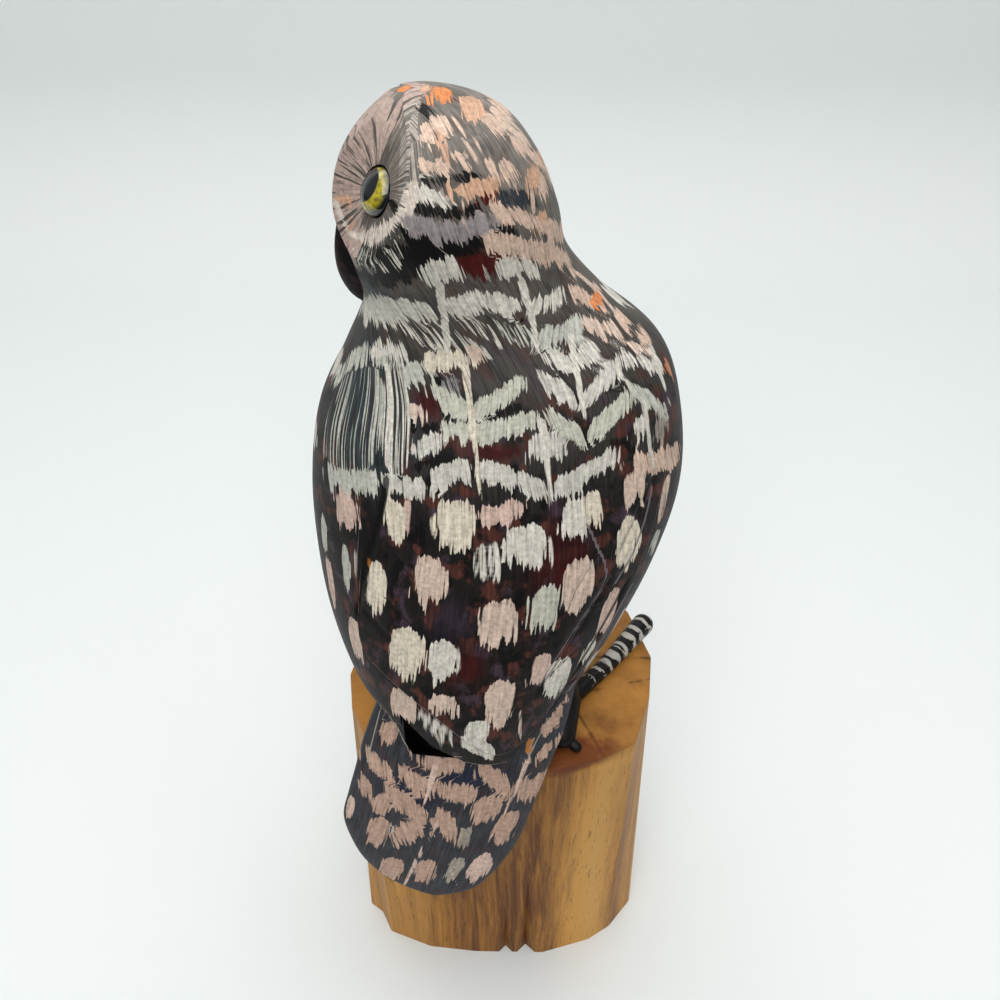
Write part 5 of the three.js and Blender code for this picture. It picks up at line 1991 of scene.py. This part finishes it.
@dataclass(frozen=True)
class CarvedPaint:
    """Acrylic paint brushed on sealed wood: thin, streaky along the stroke, with a satin sheen."""

    streak: float = 0.46
    streak_length: float = 7.0
    broad: float = 1.4
    broad_length: float = 10.0
    hair: float = 0.4
    hair_length: float = 32.0
    speck: float = 0.8
    soft: float = 0.09
    ground_roughness: float = 0.55
    paint_roughness: float = 0.6
    blots: tuple[tuple[str, float], ...] = (("070606", 0.49), ("4e2b23", 0.52), ("3d2f39", 0.55))

    def material(self) -> bpy.types.Material:
        """Builds the material."""
        shader = Shader("carved_paint")
        flow = shader.kept("flow")
        speck = shader.noise(shader.add("TexCoord", out="Object"), 1 / (MM * self.speck), 4.0, 0.7)
        colour = self.ground(shader, flow)
        covers = {}
        for layer in LAYERS:
            colour, covers[layer], fine, edge = self.brushed(shader, layer, flow, speck, colour)
        # The last layer's streaks also roughen the lines and the coat
        colour = self.lined(shader, colour, edge)
        rough = shader.ramp(covers["mark"], 0.0, 1.0, self.ground_roughness, self.paint_roughness)
        raised = shader.math("MULTIPLY", fine, 0.05)
        bump = shader.add("Bump", {"Height": raised, "Strength": 0.6, "Distance": MM})
        return shader.finish(Base_Color=colour, Roughness=rough, Normal=bump, Specular_IOR_Level=0.2)

    def ground(self, shader: Shader, flow: Socket) -> Socket:
        """Adds the dark ground, with its blotches and the streaks of the brush.

        Args:
            shader: the material's nodes.
            flow: the coordinates that the brush follows.

        Returns:
            The ground's colour.
        """
        colour = shader.kept("ground_tone", "Color")
        amount = shader.kept("ground_tone", "Alpha")
        for number, (tone, low) in enumerate(self.blots):
            place = shader.vector("ADD", flow, (17.0 * number, 40.0 * number, 0.0))
            share = shader.soft_ramp(self.along_strokes(shader, place, 3.6, 5.2, 7.0), low, low + 0.1)
            colour = shader.mix(shader.math("MULTIPLY", share, amount), colour, linear(tone))
        fine = self.along_strokes(shader, flow, self.streak, self.streak_length, 2.0)
        return shader.scaled(colour, shader.ramp(fine, 0.34, 0.68, 0.65, 1.45))

    def brushed(self, shader: Shader, layer: str, flow: Socket, speck: Socket,
                colour: Socket) -> tuple[Socket, ...]:
        """Adds a layer of marks. Their ends are broken up by the brush's streaks or by hairs.

        Args:
            shader: the material's nodes.
            layer: the layer's name.
            flow: the coordinates that the brush follows.
            speck: noise as fine as the wood's grain under the paint.
            colour: what the marks are laid on.

        Returns:
            The colour, how much the marks cover, the fine streaks, and how they break up an edge.
        """
        depth, rag, moved = shader.parts(shader.kept(layer))
        stroke = shader.vector("ADD", flow, shader.add("CombineXYZ", {0: moved}))
        fine = self.along_strokes(shader, stroke, self.streak, self.streak_length, 2.0)
        broad = self.along_strokes(shader, stroke, self.broad, self.broad_length, 1.0)
        edge = shader.math("MULTIPLY_ADD", broad, 4.4, shader.math("MULTIPLY_ADD", fine, 5.0, -4.7))
        hair = self.along_strokes(shader, stroke, self.hair, self.hair_length, 2.0)
        hairs = shader.math("MULTIPLY_ADD", hair, 6.0, -3.0)
        ends = shader.add("Mix", {"Factor": shader.math("LESS_THAN", rag, 0.0), 2: edge, 3: hairs})
        reach = shader.math("MULTIPLY_ADD", ends, shader.math("ABSOLUTE", rag), depth)
        gaps = self.along_strokes(shader, stroke, self.streak * 0.5, self.streak_length * 1.4, 1.0)
        full = shader.soft_ramp(reach, 0.3, 1.6, 0.35, 0.93)
        solid = shader.math("MAXIMUM", shader.soft_ramp(gaps, 0.3, 0.42), full)
        cover = shader.math("MULTIPLY", shader.soft_ramp(reach, -self.soft, self.soft), solid)
        tint = shader.math("MULTIPLY_ADD", fine, 0.7, shader.math("MULTIPLY_ADD", speck, 1.0, -0.4))
        tint = shader.ramp(tint, 0.2, 0.7, 0.55, 1.2)
        tone = shader.scaled(shader.kept(layer + "_tone", "Color"), tint)
        return shader.mix(cover, colour, tone), cover, fine, edge

    def lined(self, shader: Shader, colour: Socket, edge: Socket) -> Socket:
        """Adds the lines along the carving.

        Args:
            shader: the material's nodes.
            colour: what they are laid on.
            edge: how streaks break up an edge.

        Returns:
            The colour.
        """
        distance, half, _ = shader.parts(shader.kept("line"))
        near = shader.math("SUBTRACT", half, shader.math("ABSOLUTE", distance))
        near = shader.math("MULTIPLY_ADD", edge, 0.03, near)
        share = shader.math("MULTIPLY", shader.soft_ramp(near, 0.0, 0.09), 0.85)
        return shader.mix(share, colour, shader.kept("line_tone", "Color"))

    def along_strokes(self, shader: Shader, place: Socket, across: float, along: float,
                      detail: float) -> Socket:
        """Returns noise drawn out along the brush strokes, with its sizes in millimetres."""
        return shader.drawn_noise(place, (across, along, 1.0), detail, 0.55)


@dataclass(frozen=True)
class StumpWood:
    """A length of seasoned branch wood, split, sanded and oiled.

    Its pores are fine dark dashes up the grain, and the top is darker round the owl's feet, which is
    painted shade.
    """

    light: str = "c88c3a"
    dark: str = "603713"
    pale: str = "caa05a"
    pore: str = "3d2210"
    top: str = "b07a36"
    top_dark: str = "6f451b"
    foot_shade: str = "5a1e0a"
    foot_shade_place: Point3 = (-12.0, 31.0, 80.0)
    foot_shade_size: Point3 = (13.0, 7.0, 3.5)
    roughness: float = 0.5

    def material(self) -> bpy.types.Material:
        """Builds the material."""
        shader = Shader("stump_wood")
        place = shader.in_millimetres()
        bend = shader.noise(place, 0.03, 2.0, out="Color")
        place = shader.vector("ADD", place, shader.vector("MULTIPLY", bend, (2.0, 2.0, 0.0)))
        fibre = self.grain(shader, place, 0.6, 45.0, 3.0)
        hole = shader.soft_ramp(self.grain(shader, place, 0.42, 4.5, 1.0), 0.62, 0.72, 0.0, 0.45)
        cloud = shader.noise(place, 0.08, 9.0, 0.7)
        colour = shader.mix(hole, self.split_wall(shader, place, fibre), linear(self.pore))
        end = shader.math("MULTIPLY", shader.kept("end_grain", "Fac"), 0.92)
        colour = shader.mix(end, colour, self.sawn_end(shader, place, cloud))
        # Painted shade: the top darkens to a deep red-brown beside the owl's right foot.
        shade_reach = shader.vector("SUBTRACT", place, self.foot_shade_place)
        shade_reach = shader.vector("MULTIPLY", shade_reach, tuple(1 / size for size in self.foot_shade_size))
        shade_reach = shader.math("MULTIPLY_ADD", cloud, 1.2, shader.vector("LENGTH", shade_reach, out="Value"))
        colour = shader.mix(shader.soft_ramp(shade_reach, 1.1, 1.7, 0.8, 0.0), colour, linear(self.foot_shade))
        raised = shader.math("MULTIPLY_ADD", hole, -0.12, shader.math("MULTIPLY", fibre, 0.12))
        bump = shader.add("Bump", {"Height": raised, "Strength": 0.7, "Distance": MM})
        return shader.finish(Base_Color=colour, Roughness=self.roughness, Normal=bump,
                             Specular_IOR_Level=0.2)

    def split_wall(self, shader: Shader, place: Socket, fibre: Socket) -> Socket:
        """Colours the facets, streaked up the grain.

        Args:
            shader: the material's nodes.
            place: places in millimetres.
            fibre: the fine grain.

        Returns:
            The colour.
        """
        facet = shader.kept("facet", "Fac")
        streak = self.grain(shader, place, 2.6, 160.0, 5.0)
        share = shader.math("MULTIPLY_ADD", streak, 1.5, facet)
        share = shader.ramp(shader.math("MULTIPLY_ADD", fibre, 0.9, share), 0.85, 1.75)
        colour = shader.mix(share, linear(self.dark), linear(self.light))
        return shader.mix(shader.math("MULTIPLY", facet, 0.6), colour, linear(self.pale))

    def sawn_end(self, shader: Shader, place: Socket, cloud: Socket) -> Socket:
        """Colours the sawn end, clouded and finely cracked.

        Args:
            shader: the material's nodes.
            place: places in millimetres.
            cloud: broad noise.

        Returns:
            The colour.
        """
        share = shader.ramp(cloud, 0.34, 0.6, 0.15, 1.0)
        top = shader.mix(share, linear(self.top_dark), linear(self.top))
        crack = shader.add("TexVoronoi", {"Vector": place, "Scale": 0.055}, feature="DISTANCE_TO_EDGE")
        crack = shader.soft_ramp(crack, 0.0, 0.03, 0.9, 0.0)
        crack = shader.math("MULTIPLY", crack, shader.ramp(cloud, 0.62, 0.45))
        return shader.mix(crack, top, linear(self.pore))

    def grain(self, shader: Shader, place: Socket, across: float, along: float, detail: float) -> Socket:
        """Returns noise drawn out up the grain, with its sizes in millimetres."""
        return shader.drawn_noise(place, (across, across, along), detail, 0.6)


@dataclass(frozen=True)
class EyeGlass:
    """A domed glass bead, painted behind: a yellow iris and a large dark pupil under a clear gloss."""

    iris: str = "c4b330"
    deep: str = "6f6a1c"
    pupil: str = "15181a"
    pupil_radius: float = 2.6
    pupil_shift: Point2 = (-0.6, 0.35)
    iris_radius: float = 3.35

    def material(self) -> bpy.types.Material:
        """Builds the material."""
        shader = Shader("eye_glass")
        place = shader.kept("bead")
        off_pupil = shader.vector("SUBTRACT", place, (*self.pupil_shift, 0.0))
        from_pupil = shader.vector("LENGTH", off_pupil, out="Value")
        from_middle = shader.vector("LENGTH", place, out="Value")
        mottle = shader.ramp(shader.noise(place, 1.3, 3.0), 0.35, 0.65)
        colour = shader.mix(mottle, linear(self.deep), linear(self.iris))
        rim = shader.ramp(from_middle, self.iris_radius - 0.35, self.iris_radius + 0.15)
        colour = shader.mix(rim, colour, linear(self.pupil))
        black = shader.ramp(from_pupil, self.pupil_radius - 0.08, self.pupil_radius + 0.1, 1.0, 0.0)
        colour = shader.mix(black, colour, linear(self.pupil))
        return shader.finish(Base_Color=colour, Roughness=0.08, Specular_IOR_Level=0.6,
                             Coat_Weight=0.6, Coat_Roughness=0.04)


@dataclass(frozen=True)
class FootPaint:
    """Acrylic bands brushed round the toes by hand, so that they waver."""

    white: str = "b5b0a8"
    black: str = "0b0a0a"
    period: float = 3.0

    def material(self) -> bpy.types.Material:
        """Builds the material."""
        shader = Shader("painted_foot")
        place = shader.kept("toe")
        along, _, leg = shader.parts(place)
        along = shader.math("MULTIPLY_ADD", shader.noise(place, 0.55, 2.0), 4.0, along)
        wave = shader.math("SINE", shader.math("MULTIPLY", along, 2 * math.pi / self.period))
        wave = shader.math("MULTIPLY_ADD", shader.noise(place, 1.1, 3.0), 3.0, wave)
        share = shader.soft_ramp(shader.math("ADD", wave, leg), 1.45, 1.95)
        colour = shader.mix(share, linear(self.black), linear(self.white))
        return shader.finish(Base_Color=colour, Roughness=0.5, Specular_IOR_Level=0.25)


@dataclass(frozen=True)
class PlainFinish:
    """An even coat of one colour."""

    name: str
    tone: str
    roughness: float = 0.5

    def material(self) -> bpy.types.Material:
        """Builds the material."""
        return Shader(self.name).finish(Base_Color=linear(self.tone), Roughness=self.roughness)


# The stage


@dataclass(frozen=True)
class Studio:
    """A pale sweep with soft light from above."""

    half_width: float = 900.0
    near: float = 165.0
    far: float = -330.0
    bend: float = 90.0
    rise: float = 700.0
    tone: str = "dfe3e2"
    room_low: float = 0.05
    room_high: float = 0.26
    room_tone: str = "f3f4f6"

    def build(self) -> None:
        """Makes the floor, the backdrop and the lights."""
        profile = [(self.near, 0.0), (self.far, 0.0)]
        for angle in np.linspace(0, math.pi / 2, 17)[1:]:
            profile.append((self.far - self.bend * math.sin(angle), self.bend * (1 - math.cos(angle))))
        profile.append((self.far - self.bend, self.rise))
        work = bmesh.new()
        verts = [work.verts.new((-self.half_width * MM, y * MM, z * MM)) for y, z in profile]
        edges = [work.edges.new(pair) for pair in zip(verts, verts[1:])]
        made = bmesh.ops.extrude_edge_only(work, edges=edges)["geom"]
        moved = [item for item in made if isinstance(item, bmesh.types.BMVert)]
        bmesh.ops.translate(work, verts=moved, vec=(2 * self.half_width * MM, 0, 0))
        bmesh.ops.recalc_face_normals(work, faces=work.faces)
        sweep = finish_mesh(work, "sweep")
        smooth_shading(sweep, 60)
        sweep.data.materials.append(PlainFinish("sweep_paper", self.tone, 0.9).material())
        self.light("overhead", (0.0, -150.0, 880.0), (0, -30, 80), 1050.0, 7.4)
        self.light("behind_camera", (60.0, 640.0, 780.0), (0, -40, 130), 700.0, 5.5)
        self.room()

    def room(self) -> None:
        """Lights the room round the sweep: pale above the horizon and dim below it."""
        world = bpy.data.worlds.new("room")
        bpy.context.scene.world = world
        world.use_nodes = True
        tree = world.node_tree
        kinds = ("TexCoord", "SeparateXYZ", "MapRange")
        nodes = {kind: tree.nodes.new("ShaderNode" + kind) for kind in kinds}
        for index, value in enumerate((-0.12, 0.12, self.room_low, self.room_high)):
            nodes["MapRange"].inputs[index + 1].default_value = value
        tree.links.new(nodes["TexCoord"].outputs["Generated"], nodes["SeparateXYZ"].inputs[0])
        tree.links.new(nodes["SeparateXYZ"].outputs["Z"], nodes["MapRange"].inputs[0])
        tree.links.new(nodes["MapRange"].outputs[0], tree.nodes["Background"].inputs[1])
        tree.nodes["Background"].inputs[0].default_value = linear(self.room_tone)

    def light(self, name: str, place: Point3, aim: Point3, size: float, power: float) -> None:
        """Adds a square soft light.

        Args:
            name: its name.
            place: where it is, in millimetres.
            aim: where it points, in millimetres.
            size: its side, in millimetres.
            power: its power in watts.
        """
        data = bpy.data.lights.new(name, "AREA")
        data.size = size * MM
        data.energy = power
        lamp = bpy.data.objects.new(name, data)
        bpy.context.scene.collection.objects.link(lamp)
        lamp.location = Vector(place) * MM
        lamp.rotation_euler = (Vector(aim) - Vector(place)).to_track_quat("-Z", "Y").to_euler()


# Assembly


@dataclass(frozen=True)
class PaintedOwl:
    """The whole object."""

    clearance: float = 0.3
    owl_crease: float = 38.0
    stump_crease: float = 25.0
    small_crease: float = 40.0

    def carve_owl(self) -> Piece:
        """Makes the carved block with its sockets."""
        owl = Mantle().build()
        combine(owl, [Core().build(), Tail().build(), Beak().build()], "UNION")
        cutters = [Pocket().build()]
        for left in (True, False):
            cutters.append(Eye(left, sides=40, steps=12).build("socket", self.clearance))
            cutters.append(Foot(not left, end_steps=4, sides=20).build("foot_cutter", self.clearance))
        combine(owl, cutters, "DIFFERENCE")
        owl.name = "carved_owl"
        return owl

    def build(self) -> None:
        """Makes every piece and gives each its place in the frame."""
        owl = self.carve_owl()
        log.info("carved block: %d faces", len(owl.data.polygons))
        painter = Painter(owl, Flow(Mantle()))
        work = Brushwork()
        painter.carve(work.lines())
        painter.paint(work.marks(), work.patches(), work.lines())
        self.keep(owl, "owl", CarvedPaint(), self.owl_crease)
        stump = Stump().build()
        Stump().dress(stump)
        self.keep(stump, "stump", StumpWood(), self.stump_crease)
        for side in ("left", "right"):
            eye = Eye(side == "left")
            bead = eye.build(f"{side}_eye_bead")
            eye.dress(bead)
            self.keep(bead, f"{side}_eye", EyeGlass(), self.small_crease)
            foot = Foot(side == "right")
            toes = foot.build(f"{side}_foot_painted")
            foot.dress(toes)
            self.keep(toes, f"{side}_foot", FootPaint(), self.small_crease)

    def keep(self, piece: Piece, node: str,
             finish: CarvedPaint | StumpWood | EyeGlass | FootPaint,
             crease: float) -> None:
        """Dresses a finished piece, parents it to the root and hides the part it stands for.

        Args:
            piece: the piece.
            node: the node it stands for.
            finish: what it is finished with.
            crease: edges sharper than this angle in degrees stay sharp.
        """
        smooth_shading(piece, crease)
        piece.data.materials.clear()
        piece.data.materials.append(finish.material())
        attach(piece, "root")
        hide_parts(node)
        log.info("%s stands for %s with %d faces", piece.name, node, len(piece.data.polygons))


def write_sizes() -> None:
    """Brings the scene's view layer up to date."""
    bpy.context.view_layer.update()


def main() -> None:
    """Builds the scene."""
    logging.basicConfig(level=logging.INFO, format="%(message)s")
    bpy.context.scene.view_settings.view_transform = "Standard"
    VIEW.make_camera()
    Studio().build()
    PaintedOwl().build()
    write_sizes()


if __name__ == "__main__":
    main()
